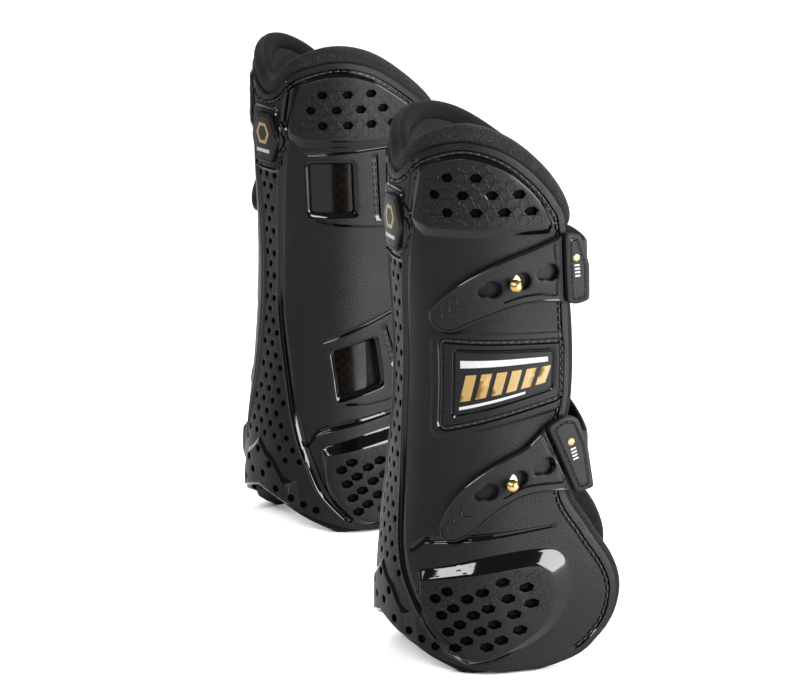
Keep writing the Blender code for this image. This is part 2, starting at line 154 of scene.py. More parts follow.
def station(z, column):
    """One measure of the section at each height, on a smooth curve through the stations."""
    heights, values = STATIONS[:, 0], STATIONS[:, column]
    z = np.clip(z, heights[0], heights[-1])
    slopes = np.gradient(values, heights)
    i = np.clip(np.searchsorted(heights, z) - 1, 0, len(heights) - 2)
    span = heights[i + 1] - heights[i]
    t = (z - heights[i]) / span
    ahead = 3 * t**2 - 2 * t**3
    return (
        (1 - ahead) * values[i]
        + ahead * values[i + 1]
        + (t**3 - 2 * t**2 + t) * span * slopes[i]
        + (t**3 - t**2) * span * slopes[i + 1]
    )


class Skin:
    """The skin's points and level normals, on a fine table of arc length and height."""

    LOW, HIGH, RISE = -6.0, 246.0, 1.0
    REACH, STEP = 175.0, 0.5

    def __init__(self):
        heights = np.arange(self.LOW, self.HIGH, self.RISE)
        arcs = np.arange(0, self.REACH, self.STEP)
        self.out = np.empty((len(heights), len(arcs)))
        self.along = np.empty_like(self.out)
        for row, z in enumerate(heights):
            length, out, along = self.section(float(z))
            self.out[row] = np.interp(arcs, length, out)
            self.along[row] = np.interp(arcs, length, along)
        out_step = np.gradient(self.out, axis=1)
        along_step = np.gradient(self.along, axis=1)
        along_step[:, 0] = 0
        size = np.maximum(np.hypot(out_step, along_step), 1e-9)
        self.facing_out = -along_step / size
        self.facing_along = out_step / size

    @staticmethod
    def section(z, points=700):
        """(arc length, distance from the middle, y) along one side of the section, from the back."""
        back, half, front = (station(z, column) for column in (1, 2, 3))
        angle = np.linspace(0, math.pi / 2, points)
        power = 2 / SQUARENESS
        out = np.concatenate([half * np.sin(angle) ** power, half * np.cos(angle[1:-16]) ** power])
        y = np.concatenate([back * np.cos(angle) ** power, -front * np.sin(angle[1:-16]) ** power])
        length = np.concatenate([[0], np.cumsum(np.hypot(np.diff(out), np.diff(y)))])
        return length, out, y

    def read(self, table, s, z):
        row = np.clip((z - self.LOW) / self.RISE, 0, table.shape[0] - 1.001)
        column = np.clip(np.abs(s) / self.STEP, 0, table.shape[1] - 1.001)
        i, j = row.astype(int), column.astype(int)
        u, v = row - i, column - j
        low = table[i, j] * (1 - v) + table[i, j + 1] * v
        high = table[i + 1, j] * (1 - v) + table[i + 1, j + 1] * v
        return low * (1 - u) + high * u

    def points(self, s, z, n):
        """The points of the right boot at (s, z), n outside the shell's face, in mm."""
        s, z, n = (np.asarray(a, float) for a in np.broadcast_arrays(s, z, n))
        side = np.where(s > 0, -1.0, 1.0)
        out = self.read(self.out, s, z) + n * self.read(self.facing_out, s, z)
        along = self.read(self.along, s, z) + n * self.read(self.facing_along, s, z)
        return np.stack([side * out, along, z], -1)


skin = Skin()


def on_skin(s, z, n):
    return skin.points([s], [z], [n])[0]


# --- where the boots stand ------------------------------------------------------------------------


def joint_place(name):
    return np.array(next(j for j in frame["joints"] if j["name"] == name)["pos_m"]) / MM


class Place:
    """Where one boot stands, read from its upper strap's hinge and its upper tab's centre."""

    def __init__(self, name, side):
        self.mirror = np.array([side, 1.0, 1.0])
        web = STRAPS["upper"]["web"]
        first = on_skin(*web["end"], SWING_N) * self.mirror
        second = on_skin(*STRAPS["upper"]["stud"], -LEG_RADIUS) * self.mirror
        here = joint_place(f"{name}_upper_strap_swing")
        there = joint_place(f"{name}_upper_tab_stretch")
        was, now = second - first, there - here
        turn = math.atan2(now[1], now[0]) - math.atan2(was[1], was[0])
        self.turn = np.array(Matrix.Rotation(turn, 3, "Z"))
        self.shift = here - self.turn @ first

    def __call__(self, points):
        """Points of the right boot's own frame in mm, as this boot's points in the row frame in metres."""
        return ((np.asarray(points) * self.mirror) @ self.turn.T + self.shift) * MM


PLACES = {"right": Place("right", 1), "left": Place("left", -1)}


# --- lines and outlines in the flat pattern -------------------------------------------------------


def bend(a, b, c, d, t):
    """The smooth curve from b to c, at the shares t of the way. a comes before them and d after."""
    curve = 2 * b + (c - a) * t + (2 * a - 5 * b + 4 * c - d) * t**2 + (3 * b - a - 3 * c + d) * t**3
    return curve / 2


def lengths(line):
    """The length of the line up to each of its points."""
    return np.concatenate([[0], np.cumsum(np.linalg.norm(np.diff(line, axis=0), axis=1))])


def spots_along(line, place, length):
    """The points of the line at these places, where length is the place of each of its own points."""
    return np.stack([np.interp(place, length, line[:, k]) for k in range(line.shape[1])], 1)


def around(sides):
    """The angles of a ring with this many points."""
    return 2 * math.pi * np.arange(sides) / sides


def sideways(line, closed):
    """The unit vector to the left of the line at each of its points."""
    if closed:
        ahead = np.roll(line, -1, axis=0) - np.roll(line, 1, axis=0)
    else:
        ahead = np.gradient(line, axis=0)
    ahead /= np.maximum(np.linalg.norm(ahead, axis=1), 1e-9)[:, None]
    return np.stack([-ahead[:, 1], ahead[:, 0]], 1)


def curve_through(points, closed=False, step=1.2):
    """Points at about this step along a smooth curve through the given ones."""
    points = [np.array(p, float) for p in points]
    ends = [points[-1]] + points + points[:2] if closed else [points[0]] + points + [points[-1]]
    found = []
    for a, b, c, d in zip(ends, ends[1:], ends[2:], ends[3:]):
        pieces = max(1, round(float(np.linalg.norm(c - b)) / step))
        t = (np.arange(pieces) / pieces)[:, None]
        found.append(bend(a, b, c, d, t))
    if not closed:
        found.append(points[-1][None])
    return np.concatenate(found)


def catmull(points, pieces):
    """The same smooth curve as curve_through gives, closed, with as many points between each pair."""
    points = np.asarray(points, float)
    t = (np.arange(pieces) / pieces)[:, None]
    found = []
    for a, b, c, d in zip(*(np.roll(points, shift, axis=0) for shift in (1, 0, -1, -2))):
        found.append(bend(a, b, c, d, t))
    return np.concatenate(found)


def straight(points, step=1.2, closed=False):
    """Points at about this step along straight lines through the given ones."""
    points = [np.array(p, float) for p in points]
    if closed:
        points.append(points[0])
    found = []
    for a, b in zip(points, points[1:]):
        pieces = max(1, round(float(np.linalg.norm(b - a)) / step))
        t = (np.arange(pieces) / pieces)[:, None]
        found.append(a + (b - a) * t)
    if not closed:
        found.append(points[-1][None])
    return np.concatenate(found)


def rounded(corners, radius=2.0, steps=5, step=1.2):
    """A closed outline through these corners, each rounded. radius may be one for each corner."""
    corners = [np.array(c, float) for c in corners]
    radii = radius if isinstance(radius, (list, tuple)) else [radius] * len(corners)
    found = []
    for before, here, after, size in zip(corners[-1:] + corners, corners, corners[1:] + corners[:1], radii):
        first = here + (before - here) / np.linalg.norm(before - here) * size
        last = here + (after - here) / np.linalg.norm(after - here) * size
        for k in range(steps + 1):
            t = k / steps
            found.append(first * (1 - t) ** 2 + here * 2 * t * (1 - t) + last * t**2)
    return straight(found, step, closed=True)


def circle(centre, radius, sides=20):
    turns = around(sides)
    return np.stack([centre[0] + radius * np.cos(turns), centre[1] + radius * np.sin(turns)], 1)


def swapped(line):
    """The same line on the other side of the boot."""
    return np.asarray(line, float) * (-1, 1)


def measure(points, line, closed):
    """(distance, place along the line) for each point. Inside a closed line the distance is positive."""
    a = np.asarray(line, float)
    b = np.roll(a, -1, axis=0) if closed else a[1:]
    a = a if closed else a[:-1]
    part = b - a
    size = np.maximum((part**2).sum(1), 1e-12)
    far = np.empty(len(points))
    place = np.empty(len(points))
    within = np.zeros(len(points), bool)
    for start in range(0, len(points), CHUNK):
        p = points[start : start + CHUNK, None, :]
        t = np.clip(((p - a) * part).sum(2) / size, 0, 1)
        away = np.linalg.norm(p - (a + part * t[..., None]), axis=2)
        nearest = away.argmin(1)
        rows = np.arange(len(nearest))
        far[start : start + CHUNK] = away[rows, nearest]
        place[start : start + CHUNK] = nearest + t[rows, nearest]
        if closed:
            above = (a[:, 1] > p[..., 1]) != (b[:, 1] > p[..., 1])
            with np.errstate(divide="ignore", invalid="ignore"):
                cut = a[:, 0] + part[:, 0] * (p[..., 1] - a[:, 1]) / part[:, 1]
            crossings = (above & (p[..., 0] < cut)).sum(1)
            within[start : start + CHUNK] = crossings % 2 == 1
    return np.where(within, far, -far) if closed else far, place


def inside(points, loop):
    return measure(points, loop, True)[0] > 0


def near_box(points, line, reach):
    low, high = np.min(line, axis=0) - reach, np.max(line, axis=0) + reach
    return np.flatnonzero(((points > low) & (points < high)).all(1))


def offset(line, by, closed):
    """The line moved sideways by this much, into the outline if it is closed, without what folds over."""
    line = np.asarray(line, float)
    side = sideways(line, closed)
    if closed:
        x, y = line[:, 0], line[:, 1]
        turning = (x * np.roll(y, -1) - np.roll(x, -1) * y).sum()
        side *= np.sign(turning)
    by = np.broadcast_to(by, len(line))
    moved = line + side * by[:, None]
    away = np.abs(measure(moved, line, closed)[0])
    return moved[away > np.abs(by) * 0.97 - 0.01]


# --- reliefs on a flat pattern --------------------------------------------------------------------

# Finishes of a relief's faces: matt, glossy, and a pit's floor, which is painted near-black as shade.
MATT, GLOSS, SHADED_DEEP = 0, 1, 2


def ease(t):
    t = np.clip(t, 0, 1)
    return t * t * (3 - 2 * t)


class Groove:
    """A groove along a line, or a ridge if its depth is negative.

    width is half its width: one value, or several that are spread evenly along the line.
    """

    def __init__(self, line, depth, width, closed=False, finish=GLOSS, flat=0.35):
        self.line = np.asarray(line, float)
        self.depth, self.closed, self.finish, self.flat = depth, closed, finish, flat
        given = np.atleast_1d(width)
        self.width = np.interp(np.linspace(0, 1, len(self.line)), np.linspace(0, 1, len(given)), given)

    def creases(self):
        found = [(self.line, self.closed)] if self.flat < 0.3 else []
        for share in (self.flat, (1 + self.flat) / 2, 1):
            for side in (1, -1):
                found.append((offset(self.line, self.width * share * side, self.closed), self.closed))
        return found

    def shape(self, points, height, finish):
        near = near_box(points, self.line, self.width.max())
        away, place = measure(points[near], self.line, self.closed)
        width = np.interp(place, np.arange(len(self.width)), self.width)
        share = np.abs(away) / width
        height[near] -= self.depth * (1 - ease((share - self.flat) / (1 - self.flat)))
        finish[near[share < 0.97]] = self.finish


def evenly(loop, count):
    """The closed loop as this many points, evenly along it from its first."""
    ends = np.concatenate([loop, loop[:1]])
    length = lengths(ends)
    place = np.arange(count) / count * length[-1]
    return spots_along(ends, place, length)


def bevel(t, fillet=0.1):
    """A straight slope from 0 to 1 with small fillets at its ends."""
    t = np.clip(t, 0, 1)
    low = np.minimum(t, 1 - t)
    rise = np.where(low < fillet, low**2 / (2 * fillet), low - fillet / 2) / (1 - fillet)
    return np.where(t < 0.5, rise, 1 - rise)


class Mound:
    """A plateau that rises by height from the outer loop to the inner one, point by point."""

    def __init__(self, outer, inner, height, slope=GLOSS, top=MATT):
        self.outer, self.inner = np.asarray(outer, float), np.asarray(inner, float)
        if len(outer) != len(inner):
            self.inner = evenly(self.inner, max(len(outer), len(inner)))
            self.outer = evenly(self.outer, len(self.inner))
        self.height, self.slope, self.top = height, slope, top

    def creases(self):
        wide = np.linalg.norm(self.inner - self.outer, axis=1).max()
        shares = (0, 0.1, *np.linspace(0.1, 0.9, 2 + int(wide / 1.4))[1:-1], 0.9, 1)
        return [(self.outer + (self.inner - self.outer) * share, True) for share in shares]

    def shape(self, points, height, finish):
        near = near_box(points, self.outer, 0.0)
        out = measure(points[near], self.outer, True)[0]
        into = measure(points[near], self.inner, True)[0]
        share = np.where(into >= 0, 1, out / np.maximum(out - into, 1e-9))
        share = np.where(out <= 0, 0, share)
        height[near] += self.height * bevel(share)
        finish[near[share > 0.02]] = self.slope
        finish[near[share > 0.98]] = self.top


class Pits:
    """Blind holes with steep sides, all of one outline, at several places."""

    def __init__(self, centres, radius, depth, sides, turn=0.0, taper=0.86, widths=None):
        self.centres, self.radius, self.depth = np.asarray(centres, float), radius, depth
        self.sides, self.turn, self.taper = sides, turn, taper
        self.widths = np.ones(len(self.centres)) if widths is None else widths

    def ring(self, share):
        turns = around(self.sides) + self.turn
        return np.stack([np.cos(turns), np.sin(turns)], 1) * self.radius * share

    def creases(self):
        found = []
        for centre, width in zip(self.centres, self.widths):
            found += [(centre + self.ring(share) * (width, 1), True) for share in (1.12, 1, self.taper)]
        return found

    def shape(self, points, height, finish):
        for centre, width in zip(self.centres, self.widths):
            near = near_box(points, centre[None], self.radius * 1.12 * width)
            if not len(near):
                continue
            away = measure((points[near] - centre) / (width, 1), self.ring(1), True)[0]
            sink = away / (self.radius * (1 - self.taper) * math.cos(math.pi / self.sides))
            height[near] -= self.depth * np.clip(sink, 0, 1) + 0.1 * np.clip(1 + sink, 0, 1)
            finish[near[(sink > 0) & (sink < 0.9)]] = GLOSS
            # Pit floors take the painted-shade finish: near-black for the shade deep in the holes.
            finish[near[sink >= 0.9]] = SHADED_DEEP


# --- meshes from flat patterns --------------------------------------------------------------------


def triangulate(loops, creases, step, clear):
    """(points, triangles, index of each loop point) of the pattern, whose first loop is the outline."""
    points = [tuple(p) for loop in loops for p in loop]
    edges = []
    first = 0
    for loop in loops:
        edges += [(first + k, first + (k + 1) % len(loop)) for k in range(len(loop))]
        first += len(loop)
    fixed = first
    for line, closed in creases:
        line = np.asarray(line, float)
        keep = np.ones(len(line), bool)
        for number, loop in enumerate(loops):
            away = measure(line, loop, True)[0]
            keep &= (away > 0.12) if number == 0 else (away < -0.12)
        held = [first + int(k) for k in np.cumsum(keep) - 1]
        points += [tuple(p) for p in line[keep]]
        for k in range(len(line) if closed else len(line) - 1):
            after = (k + 1) % len(line)
            if keep[k] and keep[after]:
                edges.append((held[k], held[after]))
        first += int(keep.sum())
    tree = kdtree.KDTree(len(points))
    for k, p in enumerate(points):
        tree.insert((p[0], p[1], 0), k)
    tree.balance()
    outline = np.asarray(loops[0])
    low, high = outline.min(0), outline.max(0)
    rise = step * math.sqrt(3) / 2
    rows = np.arange(math.floor(low[1] / rise), math.ceil(high[1] / rise) + 1)
    columns = np.arange(math.floor(low[0] / step) - 1, math.ceil(high[0] / step) + 1)
    grid = np.array([((i + 0.5 * (j % 2)) * step, j * rise) for j in rows for i in columns])
    grid = grid[measure(grid, outline, True)[0] > clear]
    for hole in loops[1:]:
        grid = grid[measure(grid, hole, True)[0] < -clear]
    points += [tuple(p) for p in grid if tree.find((p[0], p[1], 0))[2] > clear]
    made = delaunay_2d_cdt([Vector(p) for p in points], edges, [], 0, 1e-5)
    spots = np.array([tuple(p) for p in made[0]])
    faces = np.array(made[2])
    middles = spots[faces].mean(1)
    keep = inside(middles, outline)
    for hole in loops[1:]:
        keep &= ~inside(middles, hole)
    a, b, c = (spots[faces[:, k]] for k in range(3))
    area = np.abs((b[:, 0] - a[:, 0]) * (c[:, 1] - a[:, 1]) - (b[:, 1] - a[:, 1]) * (c[:, 0] - a[:, 0]))
    keep &= area > 1e-7
    index = np.full(fixed, -1)
    for k, origins in enumerate(made[3]):
        for origin in origins:
            if origin < fixed:
                index[origin] = k
    return spots, faces[keep], index


def round_edge(points, loops, radius, drop):
    """How far the face falls away near the pattern's edges."""
    found = np.zeros(len(points))
    for loop in loops:
        near = near_box(points, loop, radius)
        away = np.abs(measure(points[near], loop, True)[0])
        found[near] = np.maximum(found[near], 1 - np.sqrt(1 - np.clip(1 - away / radius, 0, 1) ** 2))
    return found * drop


def panel(outline, layer, holes=(), reliefs=(), step=1.7, edge=0.6, back_step=8.0, both=False, crown=None):
    """(points, faces, finish of each face) of a flat pattern wrapped on the boot, in mm.

    both rounds the inner face's edges too. crown gives an extra height for each (s, z).
    """
    loops = [np.asarray(outline, float), *[np.asarray(h, float) for h in holes]]
    creases = [crease for relief in reliefs for crease in relief.creases()]
    rims = []
    for number, loop in enumerate(loops):
        for share in (0.35, 1):
            rims.append((offset(loop, edge * share * (1 if number == 0 else -1), True), True))
    spots, faces, index = triangulate(loops, rims + creases, step, 0.45 * step)
    height = np.zeros(len(spots))
    marks = np.zeros(len(spots), int)
    middles = spots[faces].mean(1)
    finish = np.zeros(len(faces), int)
    ignored = np.zeros(len(faces))
    for relief in reliefs:
        relief.shape(spots, height, marks)
        relief.shape(middles, ignored, finish)
    height -= round_edge(spots, loops, edge, edge)
    if crown:
        height += crown(spots)
    outer = skin.points(spots[:, 0], spots[:, 1], layer[1] + height)
    if both:
        back_spots, back_faces, back_index = spots, faces, index
        sink = round_edge(spots, loops, edge, edge) - (crown(spots) * 0.6 if crown else 0)
    else:
        back_spots, back_faces, back_index = triangulate(loops, [], back_step, 0.5 * back_step)
        sink = 0.0
    inner = skin.points(back_spots[:, 0], back_spots[:, 1], layer[0] + sink)
    points = np.concatenate([outer, inner])
    shift = len(outer)
    shown = [tuple(f) for f in faces] + [tuple(f[::-1] + shift) for f in back_faces]
    finish = list(finish) + [MATT] * len(back_faces)
    first = 0
    for loop in loops:
        for k in range(len(loop)):
            a, b = first + k, first + (k + 1) % len(loop)
            shown.append((index[a], index[b], back_index[b] + shift, back_index[a] + shift))
            finish.append(MATT)
        first += len(loop)
    return points, shown, finish


def loft(rings):
    """(points, faces) of a tube through rings that all have the same number of points."""
    rings = [np.asarray(ring, float) for ring in rings]
    count = len(rings[0])
    faces = []
    for k in range(len(rings) - 1):
        for j in range(count):
            after = (j + 1) % count
            faces.append((k * count + j, k * count + after, (k + 1) * count + after, (k + 1) * count + j))
    faces.append(tuple(range(count)))
    faces.append(tuple((len(rings) - 1) * count + j for j in range(count)))
    return np.concatenate(rings), faces


def joined(parts):
    """Several (points, faces) as one."""
    points, faces, first = [], [], 0
    for more, shown in parts:
        points.append(more)
        faces += [tuple(k + first for k in face) for face in shown]
        first += len(more)
    return np.concatenate(points), faces


def turned(profile, spot, sides=40):
    """(points, faces) of (radius, n) pairs turned about the skin's normal at this spot."""
    centre = on_skin(*spot, 0)
    outward = on_skin(*spot, 1) - centre
    across = np.array([-outward[1], outward[0], 0])
    up = np.array([0.0, 0.0, 1.0])
    turns = around(sides)
    ring = across * np.cos(turns)[:, None] + up * np.sin(turns)[:, None]
    return loft([centre + outward * n + ring * radius for radius, n in profile])


# --- objects --------------------------------------------------------------------------------------


def mesh_object(name, points, faces, materials, finish=None, sharp=42):
    mesh = bpy.data.meshes.new(name)
    mesh.from_pydata([tuple(map(float, p)) for p in points], [], [tuple(map(int, f)) for f in faces])
    for material in materials:
        mesh.materials.append(material)
    if finish is not None and len(materials) > 1:
        mesh.polygons.foreach_set("material_index", np.minimum(finish, len(materials) - 1).astype(np.int32))
    shape = bmesh.new()
    shape.from_mesh(mesh)
    bmesh.ops.recalc_face_normals(shape, faces=shape.faces)
    if shape.calc_volume(signed=True) < 0:
        bmesh.ops.reverse_faces(shape, faces=shape.faces)
    shape.to_mesh(mesh)
    shape.free()
    mesh.shade_smooth()
    if sharp:
        mesh.set_sharp_from_angle(angle=math.radians(sharp))
    obj = bpy.data.objects.new(name, mesh)
    bpy.context.scene.collection.objects.link(obj)
    return obj


def publish(name, shape, materials, body, replaces=(), sharp=42, blend=None):
    """One object for each boot of a piece in the right boot's frame, riding on its CAD body, or, with blend,
    only baked in place on no body.
    """
    points, faces = shape[0], shape[1]
    finish = np.array(shape[2]) if len(shape) > 2 else None
    made = []
    for boot, place in PLACES.items():
        obj = mesh_object(f"{boot}_{name}", place(points), faces, materials, finish, sharp)
        if blend:
            start, end = (tuple(place([p])[0]) for p in blend["between"])
            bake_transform(obj)
        else:
            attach(obj, f"{boot}_{body}")
        if replaces:
            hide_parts(*[f"{boot}_{node}" for node in replaces])
        made.append(obj)
    return made


# --- materials ------------------------------------------------------------------------------------


class Finish:
    """A Principled material, with short ways to add noise, weave and bump."""

    def __init__(self, name, colour, roughness, metallic=0.0, specular=0.5):
        self.material = bpy.data.materials.new(name)
        self.material.use_nodes = True
        self.nodes = self.material.node_tree.nodes
        self.links = self.material.node_tree.links
        self.shader = self.nodes["Principled BSDF"]
        self.shader.inputs["Base Color"].default_value = (*colour, 1)
        self.shader.inputs["Roughness"].default_value = roughness
        self.shader.inputs["Metallic"].default_value = metallic
        self.shader.inputs["Specular IOR Level"].default_value = specular
        self.place = self.nodes.new("ShaderNodeTexCoord").outputs["Object"]

    def node(self, kind, inputs=(), **settings):
        made = self.nodes.new(kind)
        for key, value in settings.items():
            setattr(made, key, value)
        for key, value in dict(inputs).items():
            if isinstance(value, bpy.types.NodeSocket):
                self.links.new(value, made.inputs[key])
            else:
                made.inputs[key].default_value = value
        return made

    def noise(self, scale, detail=3.0, rough=0.55):
        inputs = {"Vector": self.place, "Scale": scale, "Detail": detail, "Roughness": rough}
        return self.node("ShaderNodeTexNoise", inputs).outputs["Fac"]

    def cells(self, scale):
        made = self.node("ShaderNodeTexVoronoi", {"Vector": self.place, "Scale": scale}, feature="F1")
        return made.outputs["Distance"]

    def ramp(self, value, stops):
        """Colours along a value: stops are (place, colour)."""
        made = self.node("ShaderNodeValToRGB", {"Fac": value})
        while len(made.color_ramp.elements) < len(stops):
            made.color_ramp.elements.new(0.5)
        for element, (place, colour) in zip(made.color_ramp.elements, stops):
            element.position = place
            element.color = (*colour, 1)
        return made.outputs["Color"]

    def spread(self, value, low, high):
        """The value from 0 to 1, spread from low to high."""
        made = self.node("ShaderNodeMapRange", {"Value": value, "To Min": low, "To Max": high})
        return made.outputs["Result"]

    def sum(self, first, second, share=1.0):
        made = self.node("ShaderNodeMath", {0: second, 1: share, 2: first}, operation="MULTIPLY_ADD")
        return made.outputs["Value"]

    def colour(self, value):
        self.links.new(value, self.shader.inputs["Base Color"])

    def roughness(self, value):
        self.links.new(value, self.shader.inputs["Roughness"])

    def bump(self, value, depth, strength=1.0):
        made = self.node("ShaderNodeBump", {"Height": value, "Distance": depth, "Strength": strength})
        self.links.new(made.outputs["Normal"], self.shader.inputs["Normal"])


def rubber_finish(name, colour, roughness, grain):
    """Satin moulded rubber: a fine leather-like grain, slightly uneven gloss, and pale flecks painted in the
    grain as speckled sheen.
    """
    made = Finish(name, colour, roughness, specular=0.11)
    grains = made.noise(2600, 2.0)
    cloud = made.noise(38, 3.0)
    # Painted sheen: the paler flecks in the grain's colour stand in for the grain's speckled highlights.
    pale = tuple(c * 1.9 for c in colour)
    made.colour(made.ramp(grains, [(0.35, colour), (0.75, pale)]))
    made.roughness(made.spread(made.sum(grains, cloud, 0.8), roughness - 0.16, roughness + 0.14))
    made.bump(made.sum(grains, made.cells(1500), 0.7), grain)
    return made.material


def gloss_finish():
    """Polished rubber edges, a little uneven in gloss."""
    made = Finish("gloss_rubber", (0.0008, 0.0008, 0.0009), 0.07, specular=0.2)
    scuffs = made.noise(420, 5.0, 0.7)
    made.roughness(made.spread(scuffs, 0.045, 0.085))
    return made.material


def neoprene_finish(name, dark, pale, sheen):
    """Knitted face of neoprene: pale flecks on charcoal, over a fine knit."""
    made = Finish(name, dark, 0.92, specular=0.15)
    made.shader.inputs["Sheen Weight"].default_value = sheen
    made.shader.inputs["Sheen Roughness"].default_value = 0.55
    flecks = made.noise(1600, 5.0, 0.85)
    made.colour(made.ramp(flecks, [(0.47, dark), (0.56, pale), (0.66, tuple(c * 3 for c in pale))]))
    made.bump(made.sum(made.cells(1250), flecks, 0.8), 0.00018)
    return made.material


def elastic_finish():
    """Woven elastic: ribs across the band, flecked brown-grey threads."""
    made = Finish("woven_elastic", (0.02, 0.018, 0.016), 0.85, specular=0.3)
    made.shader.inputs["Sheen Weight"].default_value = 0.02
    threads = made.noise(1500, 4.0, 0.7)
    stops = [(0.35, (0.0045, 0.0039, 0.0035)), (0.55, (0.014, 0.0122, 0.0105)), (0.7, (0.04, 0.035, 0.03))]
    made.colour(made.ramp(threads, stops))
    made.bump(made.sum(made.cells(1100), threads, 0.6), 0.0004)
    return made.material


def brass_finish():
    """Polished brass with slight turning marks."""
    made = Finish("polished_brass", (0.5, 0.34, 0.13), 0.28, metallic=1.0)
    marks = made.noise(700, 3.0, 0.6)
    made.roughness(made.spread(marks, 0.2, 0.36))
    made.colour(made.ramp(marks, [(0.3, (0.3, 0.195, 0.068)), (0.7, (0.42, 0.3, 0.125))]))
    made.bump(marks, 0.00002)
    return made.material


def carbon_finish():
    """Lacquered carbon plate: a faint two-way weave under a clear coat."""
    # Painted reflection: the faint brown cast of the colour and of the weave stands in for brownish
    # reflections in the windows; the weave itself is the plate's own.
    made = Finish("lacquered_carbon", (0.003, 0.0025, 0.002), 0.2, specular=0.12)
    made.shader.inputs["Coat Weight"].default_value = 0.05
    made.shader.inputs["Coat Roughness"].default_value = 0.03
    checks = made.node("ShaderNodeTexChecker", {"Vector": made.place, "Scale": 420.0})
    checks.inputs["Color1"].default_value = (0.0012, 0.0009, 0.0007, 1)
    checks.inputs["Color2"].default_value = (0.0026, 0.0019, 0.0014, 1)
    made.colour(checks.outputs["Color"])
    made.roughness(made.spread(made.noise(60), 0.08, 0.24))
    return made.material


def print_finish(name, colour, roughness):
    """Printed film, a little worn."""
    made = Finish(name, colour, roughness)
    wear = made.noise(900, 4.0, 0.7)
    made.colour(made.ramp(wear, [(0.25, tuple(c * 0.8 for c in colour)), (0.6, colour)]))
    made.bump(wear, 0.00003)
    return made.material


def thread_finish():
    made = Finish("sewing_thread", (0.007, 0.007, 0.0075), 0.3, specular=0.3)
    made.bump(made.noise(2200, 2.0), 0.0001)
    return made.material


RUBBER = rubber_finish("satin_rubber", (0.0022, 0.0023, 0.0025), 0.33, 0.00012)
STRAP_RUBBER = rubber_finish("strap_rubber", (0.0034, 0.0035, 0.0037), 0.4, 0.0001)
GLOSS_RUBBER = gloss_finish()
NEOPRENE = neoprene_finish("speckled_neoprene", (0.0008, 0.0008, 0.0009), (0.011, 0.011, 0.0115), 0.012)
LINING_CLOTH = neoprene_finish("lining_neoprene", (0.0008, 0.0008, 0.0009), (0.0055, 0.0055, 0.006), 0.012)
# Painted shade: a plainer lining cloth for the collar's inner faces, made near-black to stand in for the
# shade inside the roll.
SHADED_COLLAR_LINING = neoprene_finish("collar_lining_painted_shade", (0.0004, 0.0004, 0.0004), (0.0008, 0.0008, 0.0009), 0.0)
# Painted shade: the pits' floors, partly the lining seen through the holes, made near-black as the shade deep
# inside them.
SHADED_HOLE_FLOOR = Finish("hole_floor_painted_shade", (0.0006, 0.0006, 0.0006), 0.9, specular=0.05).material
ELASTIC = elastic_finish()
BRASS = brass_finish()
CARBON_PLATE = carbon_finish()
GOLD = print_finish("gold_print", (0.17, 0.106, 0.022), 0.36)
WHITE = print_finish("white_print", (0.24, 0.24, 0.24), 0.4)
THREAD = thread_finish()
LABEL_FILM = rubber_finish("label_film", (0.003, 0.003, 0.0033), 0.3, 0.00003)
SHELL_FINISHES = [RUBBER, GLOSS_RUBBER, SHADED_HOLE_FLOOR]
STRAP_FINISHES = [STRAP_RUBBER, GLOSS_RUBBER]


# --- outlines -------------------------------------------------------------------------------------


def side_outline(side, lip=0.0, lift=SHELL_LIFT, drop=0.0, sink=0.0):
    """One side's edge from the back of the collar round to the back of the floor edge, as (|s|, z)."""
    shape = SIDES[side]
    top = [(s, z - sink) for s, z in shape["top"]]
    top[-1] = (top[-1][0] + 0.4 * lip, top[-1][1] - lip)
    front = [(s + lip, z) for s, z in shape["front"][:-1]]
    toe = (shape["front"][-1][0] + 0.5 * lip, shape["front"][-1][1] - 0.5 + 0.5 * lift)
    start, end = shape["flat"]
    bottom = [(s, z + lift - drop) for s, z in BACK_BOTTOM]
    upper = curve_through(top + front + [toe, (start, lift)])
    flat = straight([(start, lift), (end, lift)])
    lower = curve_through([(end, lift), *bottom])
    return np.concatenate([upper[:-1], flat[:-1], lower])


def boot_outline(**shape):
    lateral = side_outline("lateral", **shape)
    medial = swapped(side_outline("medial", **shape))
    return np.concatenate([lateral[:-1], medial[:0:-1]])


def window_outline(window, grow=0.0):
    turn = math.radians(window["turn"])
    c, s = math.cos(turn), math.sin(turn)
    width, height = (side / 2 + grow for side in window["size"])
    corners = [(-width, height), (width, height), (width, -height), (-width, -height)]
    middle = np.array(window["centre"])
    corners = [middle + (c * x - s * y, s * x + c * y) for x, y in corners]
    return rounded(corners, radius=1.5 + grow * 0.5, steps=4)


def along(strap):
    """The unit direction of the strap on the skin, towards the front of the boot."""
    slope = math.radians(strap["slope"])
    return np.array([math.cos(slope), math.sin(slope)])


def keyhole(strap, number, wide_sides=18, narrow_sides=10):
    """One keyhole's outline: a wide round end that passes the ball, and a narrow one that holds it."""
    forward = along(strap)
    narrow = np.array(strap["stud"]) + forward * KEYHOLE_PITCH * number
    wide = narrow + forward * KEYHOLE_TRAVEL
    meet = (KEYHOLE_TRAVEL**2 + KEYHOLE_WIDE**2 - KEYHOLE_NARROW**2) / (2 * KEYHOLE_TRAVEL)
    heading = math.atan2(forward[1], forward[0])
    wide_end = math.pi - math.acos(meet / KEYHOLE_WIDE)
    narrow_end = math.acos((KEYHOLE_TRAVEL - meet) / KEYHOLE_NARROW)
    found = []
    for centre, radius, first, last, sides in (
        (wide, KEYHOLE_WIDE, -wide_end, wide_end, wide_sides),
        (narrow, KEYHOLE_NARROW, narrow_end, 2 * math.pi - narrow_end, narrow_sides),
    ):
        for k in range(sides):
            angle = heading + first + (last - first) * (k + 0.5) / sides
            found.append(centre + np.array([math.cos(angle), math.sin(angle)]) * radius)
    return np.array(found)


